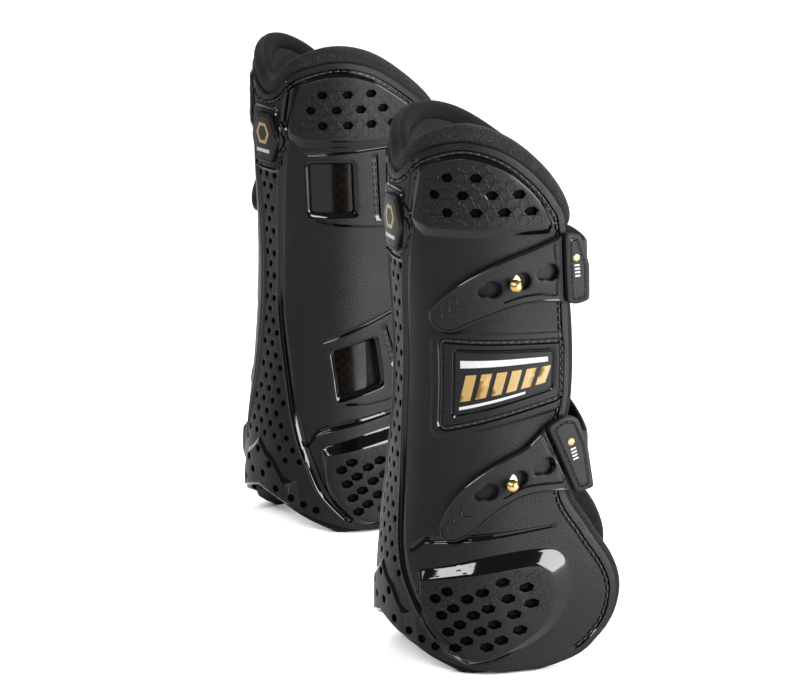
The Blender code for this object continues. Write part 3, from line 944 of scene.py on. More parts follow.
SHELL_OUTLINE = boot_outline()
RIM_GROOVE = 4.0
RIM_GROOVE_WIDTH = 1.15


def rim_line(inward):
    """The line this far inside the shell's edge, from one toe over the collar to the other toe."""
    line = offset(SHELL_OUTLINE, inward, True)
    keep = (line[:, 1] > 9) & ((line[:, 1] > 60) | (np.abs(line[:, 0]) > 85))
    start = int(np.argmax(keep & ~np.roll(keep, 1)))
    line, keep = np.roll(line, -start, axis=0), np.roll(keep, -start)
    return line[keep]


# --- the shell's reliefs --------------------------------------------------------------------------

RIDGE = {
    "lateral": [
        (17, 216), (14, 199), (12, 182), (9.2, 160), (7.8, 136), (7.4, 115), (8.2, 95), (12, 65), (17, 47),
        (24.5, 33), (33, 20), (46, 7.5),
    ],
    "medial": [
        (17, 216), (14, 199), (12, 182), (9.8, 160), (8, 137), (7.8, 116), (10.6, 98), (18.6, 68), (26, 47),
        (32, 33), (38, 20), (49, 7.5),
    ],
}
PAD_HEIGHT = 1.5
STRIKE_HEIGHT = 2.6
MEDIAL_STRIKE_SHIFT = (11, -1.5)


def ridge_line(side, shift=0.0):
    line = curve_through(RIDGE[side])
    line = line + np.array([shift, 0])
    return line if side == "lateral" else swapped(line)


def spine_reliefs(side):
    """The bead and the glossy channel that run down between the back strip and the side panel."""
    return [
        Groove(ridge_line(side, -1.2), -0.7, (0.8, 0.9, 1.0), flat=0.1),
        Groove(ridge_line(side, 1.9), 0.9, (1.5, 2.1, 1.5, 1.5, 1.9, 1.5), flat=0.55),
    ]


def top_pad(side):
    """(outer, inner) loops of the raised pad under the collar, whose top edge follows the rim."""
    sign = SIGNS[side]
    reach = 76 if side == "lateral" else 80
    outer = [(reach + 2.2, 190.5), (reach + 0.4, 186.6), (50, 186.0)]
    outer += [(22.6, 186.2), (13.4, 192.4), (20.6, 216.0)]
    inner = [(reach + 0.4, 191.4), (reach - 1, 189.0), (50, 189.4)]
    inner += [(25.4, 190.2), (18.2, 193.2), (23.4, 214.6)]
    loops = []
    for inward, corners in (
        (5.1, outer),
        (6.5, inner),
    ):
        edge = offset(SHELL_OUTLINE, inward, True) * (sign, 1)
        edge = edge[(edge[:, 0] > 24) & (edge[:, 0] < reach - 1.5) & (edge[:, 1] > 192)]
        edge = edge[np.argsort(edge[:, 0])]
        place = np.linspace(0, len(edge) - 1, 60)
        edge = spots_along(edge, place, np.arange(len(edge)))
        sides = [np.linspace(a, b, 12, endpoint=False) for a, b in zip(corners, corners[1:])]
        loop = np.concatenate([edge, *sides, [corners[-1]]])
        loops.append(loop * (sign, 1))
    return loops


def strike_pad(side):
    """(outer, inner) loops of the big pad over the fetlock."""
    outer = [(26.3, 42.5), (27.2, 45), (31, 46.4), (56, 52.2), (78, 54), (88.5, 50.5), (93, 42), (93.3, 33)]
    outer += [(87.5, 20.5), (72, 10.4), (56, 5.4), (46, 5.8), (35.6, 12.6), (28, 26)]
    inner = [
        (29, 40), (29.8, 41.3), (32.5, 42.1), (56, 45.6), (74, 47.4), (81, 45.6), (84.4, 39),
        (84.6, 31.5),
    ]
    inner += [(79, 20.5), (67, 12.6), (56, 7.9), (47.4, 8.2), (37.8, 14.8), (30.4, 27.4)]
    loops = [catmull(points, 12) for points in (outer, inner)]
    return loops if side == "lateral" else [swapped(loop + MEDIAL_STRIKE_SHIFT) for loop in loops]


def clear_of(spots, loop, margin):
    spots = np.asarray(spots, float)
    return spots[measure(spots, loop, True)[0] > margin]


HEX_PITCH = 11.4
HEX_ROW = 7.2


def top_holes(side):
    """The hexagonal holes of the top pad, in three staggered rows."""
    sign = SIGNS[side]
    spots = []
    for row in range(3):
        for k in range(6):
            spots.append(((33.9 + HEX_PITCH * k - (5.2 if row == 1 else 0)) * sign, 196.8 + HEX_ROW * row))
    return clear_of(spots, top_pad(side)[1], 3.3)


def hole_widths(holes):
    """The holes of the pads get longer towards the front: their length over their height."""
    return np.interp(np.abs(holes[:, 0]), (32, 74), (1.12, 1.62))


STRIKE_COLUMNS = [
    (35.6, 34.6, 4), (40.2, 37.9, 5), (45.6, 42.0, 5), (54.2, 37.6, 4), (62.3, 41.5, 4),
    (72.6, 38.6, 2),
]


def strike_holes(side):
    """The hexagonal holes of the strike pad: leaning columns, the next one half a step lower or higher."""
    spots = [(s + 2.6 * j, z - 7.1 * j) for s, z, count in STRIKE_COLUMNS for j in range(count)]
    spots = np.array(spots) if side == "lateral" else swapped(np.array(spots) + MEDIAL_STRIKE_SHIFT)
    return clear_of(spots, strike_pad(side)[1], 2.2)


def strip_holes():
    """(small, large) round holes of the back strip: small above the step, large and sparse below it."""
    small, large = [], []
    lateral, medial = ridge_line("lateral"), ridge_line("medial")
    for row in range(26):
        z = 171 - 5.4 * row
        left = np.interp(z, lateral[::-1, 1], lateral[::-1, 0]) - 3.9
        right = np.interp(z, medial[::-1, 1], medial[::-1, 0]) + 3.9
        pitch = np.interp(z, (60, 115), (7.6, 6.4))
        for k in range(-6, 7):
            s = (k + 0.5 * (row % 2)) * pitch
            if right < s < left and z > step_height(abs(s)) + 3.4:
                small.append((s, z))
    for row in range(3):
        for k in range(-5, 6):
            s = (k + 0.5 * (row % 2)) * 9.4
            z = 38.5 - 0.62 * abs(s) - 8.2 * row
            edge = np.interp(z, lateral[::-1, 1], lateral[::-1, 0]) - 5
            floor = np.interp(abs(s), [0, 12, 26, 40], [20.4, 17.4, 11.9, 6.4]) + 4.2
            if abs(s) < edge and floor < z < step_height(abs(s)) - 3.2:
                large.append((s, z))
    for s, z in ((22.5, 18.2), (28.6, 15.4), (34.6, 12.8)):
        large += [(s, z), (-s, z)]
    return small, large


STEP_LINE = [(0, 44.5), (7, 38.5), (11.5, 36.5), (18, 28.5), (22.5, 26.8), (25.5, 27)]


BACK_BADGE = [(-6.5, 200), (6.5, 200), (12, 188.5), (6.5, 177), (-6.5, 177), (-12, 188.5)]


def step_height(s):
    return np.interp(s, [p[0] for p in STEP_LINE], [p[1] for p in STEP_LINE])


def back_reliefs():
    """The moulded step low on the back, and the beads round the back badge."""
    step = np.array(STEP_LINE, float)
    upper = straight(np.concatenate([swapped(step)[:0:-1], step]), 1.0)
    bottom = [(27, 13), (20, 14.8), (8, 18.8), (0, 20.6), (-8, 18.8), (-20, 14.8), (-27, 13)]
    bottom = straight(bottom, 1.0)
    outer = np.concatenate([upper, bottom])
    inner = np.concatenate([upper - (0, 2.4), bottom + (0, 1.2)])
    fade = 6 * ease((np.abs(inner[:, 0]) - 14) / 12)
    inner[:, 0] -= np.sign(inner[:, 0]) * (fade + 0.3)
    inner[len(upper) :, 1] += 0.27 * fade[len(upper) :]
    badge = np.array(BACK_BADGE)
    middle = badge.mean(0)
    frame_loop = rounded(middle + (badge - middle) * 1.2, 2.0)
    bead_loop = rounded(middle + (badge - middle) * (1.42, 1.3), 2.5)
    return [
        Mound(outer, inner, 0.9),
        Groove(frame_loop, 0.6, 0.8, closed=True),
        Groove(bead_loop, -0.6, 0.8, closed=True, flat=0.1),
    ]


LABEL = [(35, 138.6), (76, 137.2), (75.4, 121.6), (35, 111.6)]
LABEL_WELL = [(33.8, 139.9), (77.2, 138.4), (76.6, 120.6), (33.8, 110.2)]
LABEL_GROOVE = [(28.8, 143.0), (80.8, 141.2), (80.6, 117.4), (29.4, 105.2)]
LABEL_GROUND = [(23.6, 147.4), (82, 145.6), (82, 112.4), (24.4, 100.0)]


def label_reliefs():
    """The label's soft raised ground, its stitched groove, and the well that the label lies in."""
    ground = rounded(LABEL_GROUND, (6, 1.5, 1.5, 7), steps=8)
    middle = ground.mean(0)
    inner = middle + (ground - middle) * (0.95, 0.93)
    well = rounded(LABEL_WELL, 2.4, steps=6)
    floor = well.mean(0) + (well - well.mean(0)) * (0.975, 0.945)
    return [
        Mound(ground, inner, 0.8, slope=MATT),
        Groove(rounded(LABEL_GROOVE, (3, 2, 2, 3.5), steps=6), 0.8, 1.25, closed=True, flat=0.5),
        Mound(well, floor, -0.6, slope=GLOSS),
    ]


def terrace(side):
    """The tapering glossy step above the strike pad."""
    if side == "lateral":
        line = [(22, 53.5), (27, 57.6), (34, 58.8), (82, 63)]
        return Groove(straight(line), 0.8, (1.5, 1.7, 1.5, 1.1, 0.7), flat=0.4)
    line = [(30, 45), (34.5, 51), (40, 52.6), (72, 58.6), (99, 66)]
    return Groove(swapped(straight(line)), 0.8, (1.5, 1.7, 1.5, 1.2, 0.8), flat=0.4)


SLOTS = {"upper": [(-59, 180.5), (-59.4, 151.5)], "lower": [(-63.5, 98), (-70.3, 80.5)]}
CHANNELS = [
    ([(-26.5, 183), (-68, 185.2), (-92, 184.6)], (1.1, 0.9, 0.6)),
    ([(-29, 151.6), (-40, 149.2), (-63, 147.4), (-92, 149.2)], (0.7, 0.6, 0.6, 0.5)),
    ([(-33.5, 93.8), (-68, 106.6), (-90, 111)], (1.1, 0.9, 0.6)),
    ([(-46.5, 63.6), (-60, 63.4), (-80, 66), (-94, 70.5)], (0.7, 0.6, 0.6, 0.5)),
]


def medial_reliefs():
    """The strap channels, the stitched slots and the windows' bevels on the inner side."""
    found = [Groove(straight(line), 0.55, widths, flat=0.2) for line, widths in CHANNELS]
    found += [Groove(straight(line), 1.0, 1.7, flat=0.7) for line in SLOTS.values()]
    for window in WINDOWS.values():
        inner = window_outline(window, 0.25)
        outer = window_outline(window, 1.5)
        lower = outer[:, 1] < window["centre"][1] - 4
        outer[lower, 1] -= 0.8
        found.append(Mound(outer, inner, -0.9))
    return found


def shell_reliefs():
    found = [Groove(rim_line(RIM_GROOVE), 0.85, RIM_GROOVE_WIDTH, flat=0.5)]
    for side in SIDES:
        found += spine_reliefs(side)
        found.append(Mound(*top_pad(side), PAD_HEIGHT))
        found.append(Mound(*strike_pad(side), STRIKE_HEIGHT))
        found.append(terrace(side))
    found += back_reliefs()
    found += label_reliefs()
    found += medial_reliefs()
    for side in SIDES:
        top, strike = top_holes(side), strike_holes(side)
        found.append(Pits(top, 2.1, 1.8, 6, taper=0.66, widths=hole_widths(top)))
        found.append(Pits(strike, 2.25, 2.0, 6, turn=math.radians(20), taper=0.6, widths=hole_widths(strike)))
    small, large = strip_holes()
    found.append(Pits(small, 1.45, 1.5, 12))
    found.append(Pits(large, 1.8, 1.5, 12))
    return found


# --- the pieces -----------------------------------------------------------------------------------


def make_shell():
    holes = [window_outline(window) for window in WINDOWS.values()]
    holes += [circle(strap["stud"], STUD_HOLE, 14) for strap in STRAPS.values()]
    shape = panel(SHELL_OUTLINE, SHELL, holes, shell_reliefs())
    publish("outer_shell", shape, SHELL_FINISHES, "boot", ["shell"])


def stroke(line, closed, n, width, height, sink=0.25):
    """(points, faces) of a thin raised line on the skin, flat on top and narrower there than below."""
    line = np.asarray(line, float)
    side = sideways(line, closed) * width / 2
    low, top = n - sink, n + height
    tracks = [(line + side, low), (line + side * 0.45, top), (line - side * 0.45, top), (line - side, low)]
    points = np.stack([skin.points(track[:, 0], track[:, 1], depth) for track, depth in tracks], 1)
    points = points.reshape(-1, 3)
    count, sides = len(line), len(tracks)
    faces = []
    for k in range(count if closed else count - 1):
        after = (k + 1) % count
        for j in range(sides):
            over = (j + 1) % sides
            faces.append((k * sides + j, k * sides + over, after * sides + over, after * sides + j))
    if not closed:
        faces.append(tuple(range(sides)))
        faces.append(tuple((count - 1) * sides + j for j in range(sides)))
    return points, faces


def stitches(line, closed, n, pitch=3.5, length=2.9, radius=0.34, sides=6):
    """(points, faces) of a row of thread stitches that dip into the ground at their ends."""
    line = np.asarray(line, float)
    ends = np.concatenate([line, line[:1]]) if closed else line
    place = lengths(ends)
    count = max(1, int(place[-1] / pitch))
    middles = (np.arange(count) + 0.5) * place[-1] / count
    found = []
    shares = (-0.5, -0.42, -0.2, 0.2, 0.42, 0.5)
    sizes = (0.25, 0.75, 1.0, 1.0, 0.75, 0.25)
    dips = (0.5, 0.22, 0.0, 0.0, 0.22, 0.5)
    turns = around(sides)
    for middle in middles:
        at = middle + np.array(shares) * length
        spots = spots_along(ends, at, place)
        spine = skin.points(spots[:, 0], spots[:, 1], n - np.array(dips) * radius * 2)
        outward = skin.points(spots[:, 0], spots[:, 1], n + 1) - skin.points(spots[:, 0], spots[:, 1], n)
        ahead = spine[-1] - spine[0]
        ahead /= np.linalg.norm(ahead)
        across = np.cross(outward, ahead)
        rings = []
        for k, size in enumerate(sizes):
            ring = outward[k] * np.cos(turns)[:, None] + across[k] * np.sin(turns)[:, None]
            rings.append(spine[k] + ring * radius * size)
        found.append(loft(rings))
    return joined(found)


def make_stitching():
    """The threads in the shell's grooves: round the rim, round the label and down the medial slots."""
    rows = [stitches(rim_line(RIM_GROOVE), False, -0.42, radius=0.42)]
    groove = rounded(LABEL_GROOVE, (3, 2, 2, 3.5), steps=6)
    rows.append(stitches(groove, True, 0.14, pitch=3.2, length=2.6))
    for line in SLOTS.values():
        ladder = straight(line, 0.5)
        for shift in (-0.75, 0.75):
            row = ladder[3:-3] + (shift, 0)
            rows.append(stitches(row, False, -0.85, pitch=2.9, length=2.3, radius=0.3))
    publish("shell_stitching", joined(rows), [THREAD], "boot", sharp=None)


def hexagon(centre, radius, turn=0.0, per_side=2):
    turns = math.pi / 3 * np.arange(6) + turn
    corners = [np.array(centre) + radius * np.array([math.cos(a), math.sin(a)]) for a in turns]
    return straight(corners, radius / per_side, closed=True)


def hole_distance(holes, spot):
    """How far the spot is from the nearest hole, in the holes' own proportions."""
    apart = holes - spot
    apart[:, 0] /= hole_widths(holes) ** 0.8
    return np.linalg.norm(apart, axis=1).min()


def make_hexagons():
    """The fine hexagons embossed between the pads' holes."""
    rows = []
    for side in SIDES:
        sign = SIGNS[side]
        holes, loop = top_holes(side), top_pad(side)[1]
        spots = []
        for row in range(-2, 9):
            for k in range(-2, 12):
                shift = 0 if row % 2 else HEX_PITCH / 4
                spots.append(((33.9 + HEX_PITCH / 2 * k + shift) * sign, 193.2 + HEX_ROW / 2 * row))
        spots = clear_of(spots, loop, 2.5)
        for spot in spots:
            if hole_distance(holes, spot) > 3.5:
                rows.append(stroke(hexagon(spot, 2.25, per_side=3), True, PAD_HEIGHT, 0.42, 0.24))
        holes, loop = strike_holes(side), strike_pad(side)[1]
        spots = []
        for row in range(-2, 14):
            for k in range(-2, 18):
                spots.append(((28 + 3.95 * k + 1.3 * row) * sign, 48 - 3.55 * row + 2.0 * (k % 2)))
        for spot in clear_of(spots, loop, 2.3):
            if hole_distance(holes, spot) > 3.2 and spot[1] > 27:
                rows.append(stroke(hexagon(spot, 1.6, 0.35, 3), True, STRIKE_HEIGHT, 0.38, 0.22))
    publish("embossed_hexagons", joined(rows), [GLOSS_RUBBER], "boot", sharp=None)


def make_lining():
    """The neoprene lining: rounded edges, and a soft swell between its seams."""
    outline = boot_outline(lip=LINING_LIP, lift=0.0, drop=LINING_DROP, sink=LINING_TUCK)
    seam = offset(outline, 7.5, True)
    seam = seam[(np.abs(seam[:, 0]) > 50) & (seam[:, 1] > 12) & (seam[:, 1] < 186)]
    seams = (seam[seam[:, 0] > 0], seam[seam[:, 0] < 0])
    reliefs = [Groove(line, 0.5, 0.9, finish=MATT, flat=0.1) for line in seams]

    def swell(spots):
        away = measure(spots, outline, True)[0]
        return 0.25 * np.sin(np.clip(away / 9, 0, 1) * math.pi) - 0.15

    shape = panel(outline, LINING, (), reliefs, step=2.6, edge=1.7, both=True, crown=swell)
    for obj in publish("neoprene_lining", shape, [LINING_CLOTH], "boot", ["lining"], sharp=None):
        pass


LINING_TUCK = 0.2
COLLAR_HEIGHT = 7.8
COLLAR_FRONT_HEIGHT = 5.6
COLLAR_LAYER = (-9.6, -0.2)
COLLAR_SEAT = 1.6
COLLAR_SIDES = 20


def collar_form(slim):
    """(points, faces) of the roll on the top edge, drawn in by slim so that it can swell."""
    tops = {side: curve_through(SIDES[side]["top"], step=2.0) for side in SIDES}
    path = np.concatenate([tops["lateral"][::-1], swapped(tops["medial"])[1:]])
    ahead = np.gradient(path, axis=0)
    for _ in range(4):
        ahead[1:-1] = (ahead[:-2] + ahead[1:-1] + ahead[2:]) / 3
    up = np.stack([ahead[:, 1], -ahead[:, 0]], 1)
    up /= np.linalg.norm(up, axis=1)[:, None]
    last = len(path) - 1
    turns = 2 * math.pi * (np.arange(COLLAR_SIDES) + 0.5) / COLLAR_SIDES
    middle, half = sum(COLLAR_LAYER) / 2, (COLLAR_LAYER[1] - COLLAR_LAYER[0]) / 2 - slim
    rings = []
    for k, spot in enumerate(path):
        share = min(k, last - k) / (last / 4)
        height = COLLAR_FRONT_HEIGHT + (COLLAR_HEIGHT - COLLAR_FRONT_HEIGHT) * min(share, 1)
        close = math.sqrt(min(min(k, last - k) + 0.6, 3.5) / 3.5)
        n = middle + half * close * np.sign(np.cos(turns)) * np.abs(np.cos(turns)) ** 0.8
        tall = height + COLLAR_SEAT
        rise = np.sign(np.sin(turns)) * np.abs(np.sin(turns)) ** 0.9 * (tall / 2 - slim) * close
        rise += tall / 2 - COLLAR_SEAT
        place = spot + up[k] * rise[:, None]
        rings.append(skin.points(place[:, 0], place[:, 1], n))
    return loft(rings)


def inflated(points, faces, voxel, cap, enlarge=3.0, frames=20):
    """The form swollen by cloth under pressure, each point moving out by no more than cap, all in mm."""
    form = mesh_object("form", points * MM * enlarge, faces, [])
    remesh = form.modifiers.new("remesh", "REMESH")
    remesh.mode = "VOXEL"
    remesh.voxel_size = voxel * MM * enlarge
    apply_modifiers(form)
    start = coordinates(form)
    normals = np.empty(start.size)
    form.data.vertices.foreach_get("normal", normals)
    normals = normals.reshape(-1, 3)
    cloth = form.modifiers.new("cloth", "CLOTH")
    cloth.settings.use_pressure = True
    cloth.settings.uniform_pressure_force = 4.0
    cloth.settings.effector_weights.gravity = 0.0
    for number in range(1, frames + 1):
        bpy.context.scene.frame_set(number)
    apply_modifiers(form)
    bpy.context.scene.frame_set(1)
    swell = ((coordinates(form) - start) * normals).sum(1)
    swell = np.clip(swell, 0, cap * MM * enlarge)[:, None]
    form.data.vertices.foreach_set("co", (start + normals * swell).astype(np.float32).ravel())
    smooth = form.modifiers.new("smooth", "SUBSURF")
    smooth.levels = 1
    apply_modifiers(form)
    done = coordinates(form) / MM / enlarge
    shown = [tuple(face.vertices) for face in form.data.polygons]
    bpy.data.objects.remove(form)
    return done, shown


def apply_modifiers(obj):
    graph = bpy.context.evaluated_depsgraph_get()
    made = bpy.data.meshes.new_from_object(obj.evaluated_get(graph))
    obj.modifiers.clear()
    obj.data = made


def coordinates(obj):
    found = np.empty(len(obj.data.vertices) * 3)
    obj.data.vertices.foreach_get("co", found)
    return found.reshape(-1, 3)


def collar_depth(spots):
    """How far outward of the roll's middle the spots lie, as a share of its half thickness."""
    lateral, medial = (curve_through(SIDES[side]["top"]) for side in ("lateral", "medial"))
    line = np.concatenate([lateral[::-1], swapped(medial)])
    middle = skin.points(line[:, 0], line[:, 1], sum(COLLAR_LAYER) / 2)
    outward = skin.points(line[:, 0], line[:, 1], COLLAR_LAYER[1]) - middle
    found = np.empty(len(spots))
    for start in range(0, len(spots), CHUNK):
        part = spots[start : start + CHUNK]
        near = np.argmin(np.linalg.norm(part[:, None, :2] - middle[None, :, :2], axis=2), axis=1)
        reach = outward[near]
        found[start : start + CHUNK] = ((part - middle[near]) * reach).sum(1) / (reach**2).sum(1)
    return found


def make_collar():
    """The padded roll on the top edge, swollen by cloth simulation, with its inner faces painted darker as
    shade.
    """
    points, faces = inflated(*collar_form(0.5), voxel=1.4, cap=0.8)
    middles = np.array([points[list(face)].mean(0) for face in faces])
    # Faces on the roll's inner side get the near-black cloth, as painted shade.
    inner = collar_depth(middles) < -0.12
    shape = points, faces, inner.astype(int)
    finishes = [NEOPRENE, SHADED_COLLAR_LINING]
    for obj in publish("padded_collar", shape, finishes, "boot", ["collar"], sharp=None):
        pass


CARBON_PLATES = {
    "lateral": [
        (20, 196), (60, 194), (76, 182), (77, 116), (74, 72), (34, 62), (20, 84), (15, 120),
        (17, 170),
    ],
    "medial": [
        (20, 196), (50, 196), (53, 150), (53, 110), (58, 68), (34, 62), (20, 84), (15, 120),
        (17, 170),
    ],
}
CARBON_HOLE = 6.5


def make_carbon_plates():
    holes = [circle(strap["stud"], CARBON_HOLE, 28) for strap in STRAPS.values()]
    for side, corners in CARBON_PLATES.items():
        outline = rounded(corners, 5, step=2.5)
        if side == "medial":
            outline = swapped(outline)[::-1]
        shape = panel(outline, CARBON, holes if side == "lateral" else (), step=4.0, edge=0.3)
        publish(f"{side}_carbon", shape, [CARBON_PLATE], "boot", [f"{side}_carbon_plate"])


def make_studs():
    """Ball studs: a flange on the shell, a waisted neck and a polished ball."""
    ball_radius, ball_centre = 2.8, 6.3
    for name, strap in STRAPS.items():
        profile = [
            (0.001, -4.6), (1.4, -4.6), (1.4, 0.3), (3.6, 0.3), (3.85, 0.42), (3.9, 0.62),
            (3.8, 0.82), (3.5, 0.92),
        ]
        profile += [(2.2, 1.15), (1.55, 1.6), (1.4, 2.4), (1.4, 3.6)]
        start = -math.acos(1.4 / ball_radius) + 0.06
        for angle in np.linspace(start, math.pi / 2 - 0.02, 14):
            profile.append((ball_radius * math.cos(angle), ball_centre + ball_radius * math.sin(angle)))
        shape = turned(profile, strap["stud"])
        publish(f"{name}_ball_stud", shape, [BRASS], "boot", [f"{name}_stud"], sharp=30)


def leaf_outline(strap):
    corners = strap["leaf"]
    closing = straight([corners[-1], corners[0]])[1:-1]
    return np.concatenate([curve_through(corners), closing])


INSETS = {
    "upper": [(55, 159.4), (62, 161.4), (70, 162.2), (76.6, 161.4), (77.8, 162.6), (78.0, 170), (77.4, 182)],
    "lower": [(58, 77.2), (66, 81.2), (74, 82), (82, 82), (83.2, 83.2), (80, 90), (72.2, 101.6)],
}
CHEVRONS = {
    "upper": [(37.4, 158.6), (34.2, 155.6), (31.2, 152.4)],
    "lower": [(42.2, 70.6), (39.6, 67.2), (37.8, 63.8)],
}


def make_tab(name, strap):
    """The tongue of a strap, with its keyholes, an inset line and three chevrons at its tip."""
    outline = leaf_outline(strap)
    holes = [keyhole(strap, number) for number in (-1, 0, 1)]
    reliefs = [
        Groove(offset(outline, 0.75, True), -0.14, 0.4, closed=True, flat=0.1),
        Groove(curve_through(INSETS[name], step=0.9), 0.5, (0.4, 0.55, 0.6, 0.6, 0.6), flat=0.1),
    ]
    shape = panel(outline, TAB, holes, reliefs, step=1.5, edge=0.7, back_step=4.0)
    publish(f"{name}_tab", shape, STRAP_FINISHES, f"{name}_tab", [f"{name}_strap_tab"])
    lines = []
    for s, z in CHEVRONS[name]:
        corners = [(s - 0.2, z + 4.4), (s - 0.3, z + 1.0), (s + 1.0, z - 0.4), (s + 4.6, z - 0.5)]
        line = curve_through(corners, step=0.5)
        lines.append(stroke(line, False, TAB[1], 0.55, 0.26))
    publish(f"{name}_tab_chevrons", joined(lines), [GLOSS_RUBBER], f"{name}_tab", sharp=None)


def mark(centre, turn, size):
    """A plain gold hexagon over four short white bars, as flat outlines."""
    c, s = math.cos(turn), math.sin(turn)

    def placed(points):
        return [np.array(centre) + (c * x - s * y, s * x + c * y) for x, y in np.asarray(points) * size]

    turns = math.pi / 3 * (np.arange(6) + 0.5)
    gold = placed([(math.cos(a) * 1.25, 4.2 + math.sin(a) * 1.25) for a in turns])
    heights = (1.9, 0.7, -0.5, -1.7)
    bars = [placed([(-0.9, y), (0.9, y), (0.9, y - 0.55), (-0.9, y - 0.55)]) for y in heights]
    return gold, bars


def make_plate(name, strap):
    """The thick end plate of a strap, with a stitched line and a small printed mark."""
    outline = rounded(strap["plate"], 2.0, step=1.0)
    line = offset(outline, 2.3, True)
    reliefs = [Groove(line, 0.45, 0.5, closed=True, flat=0.2)]
    shape = panel(outline, PLATE, (), reliefs, step=1.2, edge=0.8, back_step=4.0)
    publish(f"{name}_plate", shape, STRAP_FINISHES, f"{name}_tab", [f"{name}_strap_plate"])
    rows = stitches(line, True, PLATE[1] - 0.28, pitch=2.3, length=1.7, radius=0.2)
    publish(f"{name}_plate_stitches", rows, [THREAD], f"{name}_tab", sharp=None)
    middle = np.mean(outline, axis=0)
    turn = 0.04 if name == "upper" else 0.36
    gold, bars = mark(middle, turn, 1.25)
    top = (PLATE[1] - 0.02, PLATE[1] + 0.14)
    publish(f"{name}_plate_gold", panel(gold, top, step=0.8, edge=0.05), [GOLD], f"{name}_tab")
    white = joined([panel(straight(bar, 0.6, True), top, step=0.8, edge=0.05)[:2] for bar in bars])
    publish(f"{name}_plate_white", white, [WHITE], f"{name}_tab")


ELASTIC_START_IN = 3.2
ELASTIC_RIB = 1.1


def web_path(web, steps):
    """The elastic's middle line from the end plate, round the open front, to the medial edge."""
    start, end = web["start"], web["end"]
    ends = [on_skin(*start, WEB_N), on_skin(*end, SWING_N)]
    beyond = [on_skin(start[0] + 2, start[1], WEB_N), on_skin(end[0] - 2, end[1], SWING_N)]
    pulls = [
        spot + (after - spot) / np.linalg.norm(after - spot) * pull
        for spot, after, pull in zip(ends, beyond, web["pulls"])
    ]
    t = np.linspace(0, 1, steps + 1)[:, None]
    u = 1 - t
    path = ends[0] * u**3 + pulls[0] * 3 * t * u**2 + pulls[1] * 3 * t**2 * u + ends[1] * t**3
    share = lengths(path[:, :2])
    share /= share[-1]
    lift = web["middle"] - (start[1] + end[1]) / 2
    path[:, 2] = start[1] + (end[1] - start[1]) * share + lift * 4 * share * (1 - share)
    return path


def band(path, width, thick, rib=ELASTIC_RIB, sides=9):
    """(points, faces) of a ribbed band swept along the path, its width square to it."""
    length = lengths(path)
    count = max(8, int(length[-1] / rib * 4))
    place = np.linspace(0, length[-1], count)
    path = spots_along(path, place, length)
    ahead = np.gradient(path, axis=0)
    ahead /= np.linalg.norm(ahead, axis=1)[:, None]
    across = np.array([0, 0, 1.0]) - ahead * ahead[:, 2:3]
    across /= np.linalg.norm(across, axis=1)[:, None]
    outward = np.cross(ahead, across)
    wide = np.linspace(-1, 1, sides)
    rings = []
    for k in range(count):
        swell = thick / 2 * (0.9 + 0.1 * math.cos(2 * math.pi * place[k] / rib))
        top = [across[k] * w * width / 2 + outward[k] * swell * (1 - 0.45 * abs(w) ** 12) for w in wide]
        low = [across[k] * w * width / 2 - outward[k] * swell * (1 - 0.45 * abs(w) ** 12) for w in wide[::-1]]
        rings.append(path[k] + np.array(top + low))
    return loft(rings)


def make_elastic(name, strap):
    """The woven band of a strap, and its root, which curves round the medial edge to under the shell."""
    web = strap["web"]
    path = web_path(web, 60)
    start = on_skin(web["start"][0] - ELASTIC_START_IN, web["start"][1], WEB_N)
    hinge = path[-1]
    split = int(np.argmin(np.abs(np.linalg.norm(path - hinge, axis=1) - 7)))
    main = band(np.concatenate([[start], path[: split + 1]]), web["width"], ELASTIC_THICK)
    publish(
        f"{name}_elastic_band", main, [ELASTIC], f"{name}_web", [f"{name}_elastic"], sharp=None,
        blend={"to": f"{name}_tab", "between": (path[int(split * 0.6)], path[1])},
    )
    away, height = web["end"]
    route = ((away + 2.5, -2.0), (away + 6, -3.3), (away + 9, -3.66), (-84, -3.66))
    under = [on_skin(s, height, n) for s, n in route]
    tail = np.concatenate([path[split:], under])
    root = band(curve_3d(tail), web["width"] - 0.1, ELASTIC_THICK * 0.86)
    publish(
        f"{name}_elastic_root", root, [ELASTIC], "boot", [f"{name}_strap_anchor"], sharp=None,
        blend={"to": f"{name}_web", "between": (under[1], path[split])},
    )


def curve_3d(points, pieces=6):
    """A smooth curve through points in space."""
    points = [points[0], *points, points[-1]]
    t = (np.arange(pieces) / pieces)[:, None]
    found = []
    for a, b, c, d in zip(points, points[1:], points[2:], points[3:]):
        found.append(bend(a, b, c, d, t))
    return np.concatenate([*found, [points[-1]]])


def make_label():
    """The label in the lateral panel: a dark film with gold slanted bars between two white rules."""
    outline = rounded(LABEL, 1.6, step=1.0)
    film = panel(outline, (0.35, 1.0), step=3.0, edge=0.3)
    publish("label_film", film, [LABEL_FILM], "boot", ["label_badge"])
    corners = np.array(LABEL, float)

    def spot(u, v):
        """A point of the label: u from its rear to its front edge, v from its lower to its upper edge."""
        top = corners[0] + (corners[1] - corners[0]) * u
        low = corners[3] + (corners[2] - corners[3]) * u
        return low + (top - low) * v

    def block(u0, u1, v0, v1, slant=0.0):
        ends = [spot(u0, v0), spot(u1, v0), spot(u1 + slant, v1), spot(u0 + slant, v1)]
        return straight(ends, 1.2, closed=True)

    layer = (0.98, 1.12)
    gold = [block(0.05 + 0.155 * k, 0.05 + 0.155 * k + 0.105, 0.2, 0.62, 0.055) for k in range(6)]
    white = [block(0.05, 0.95, 0.74, 0.86), block(0.05, 0.72, 0.07, 0.12)]
    for finish, name, blocks in ((GOLD, "label_gold", gold), (WHITE, "label_white", white)):
        shape = joined([panel(outline, layer, step=2.0, edge=0.05)[:2] for outline in blocks])
        publish(name, shape, [finish], "boot")


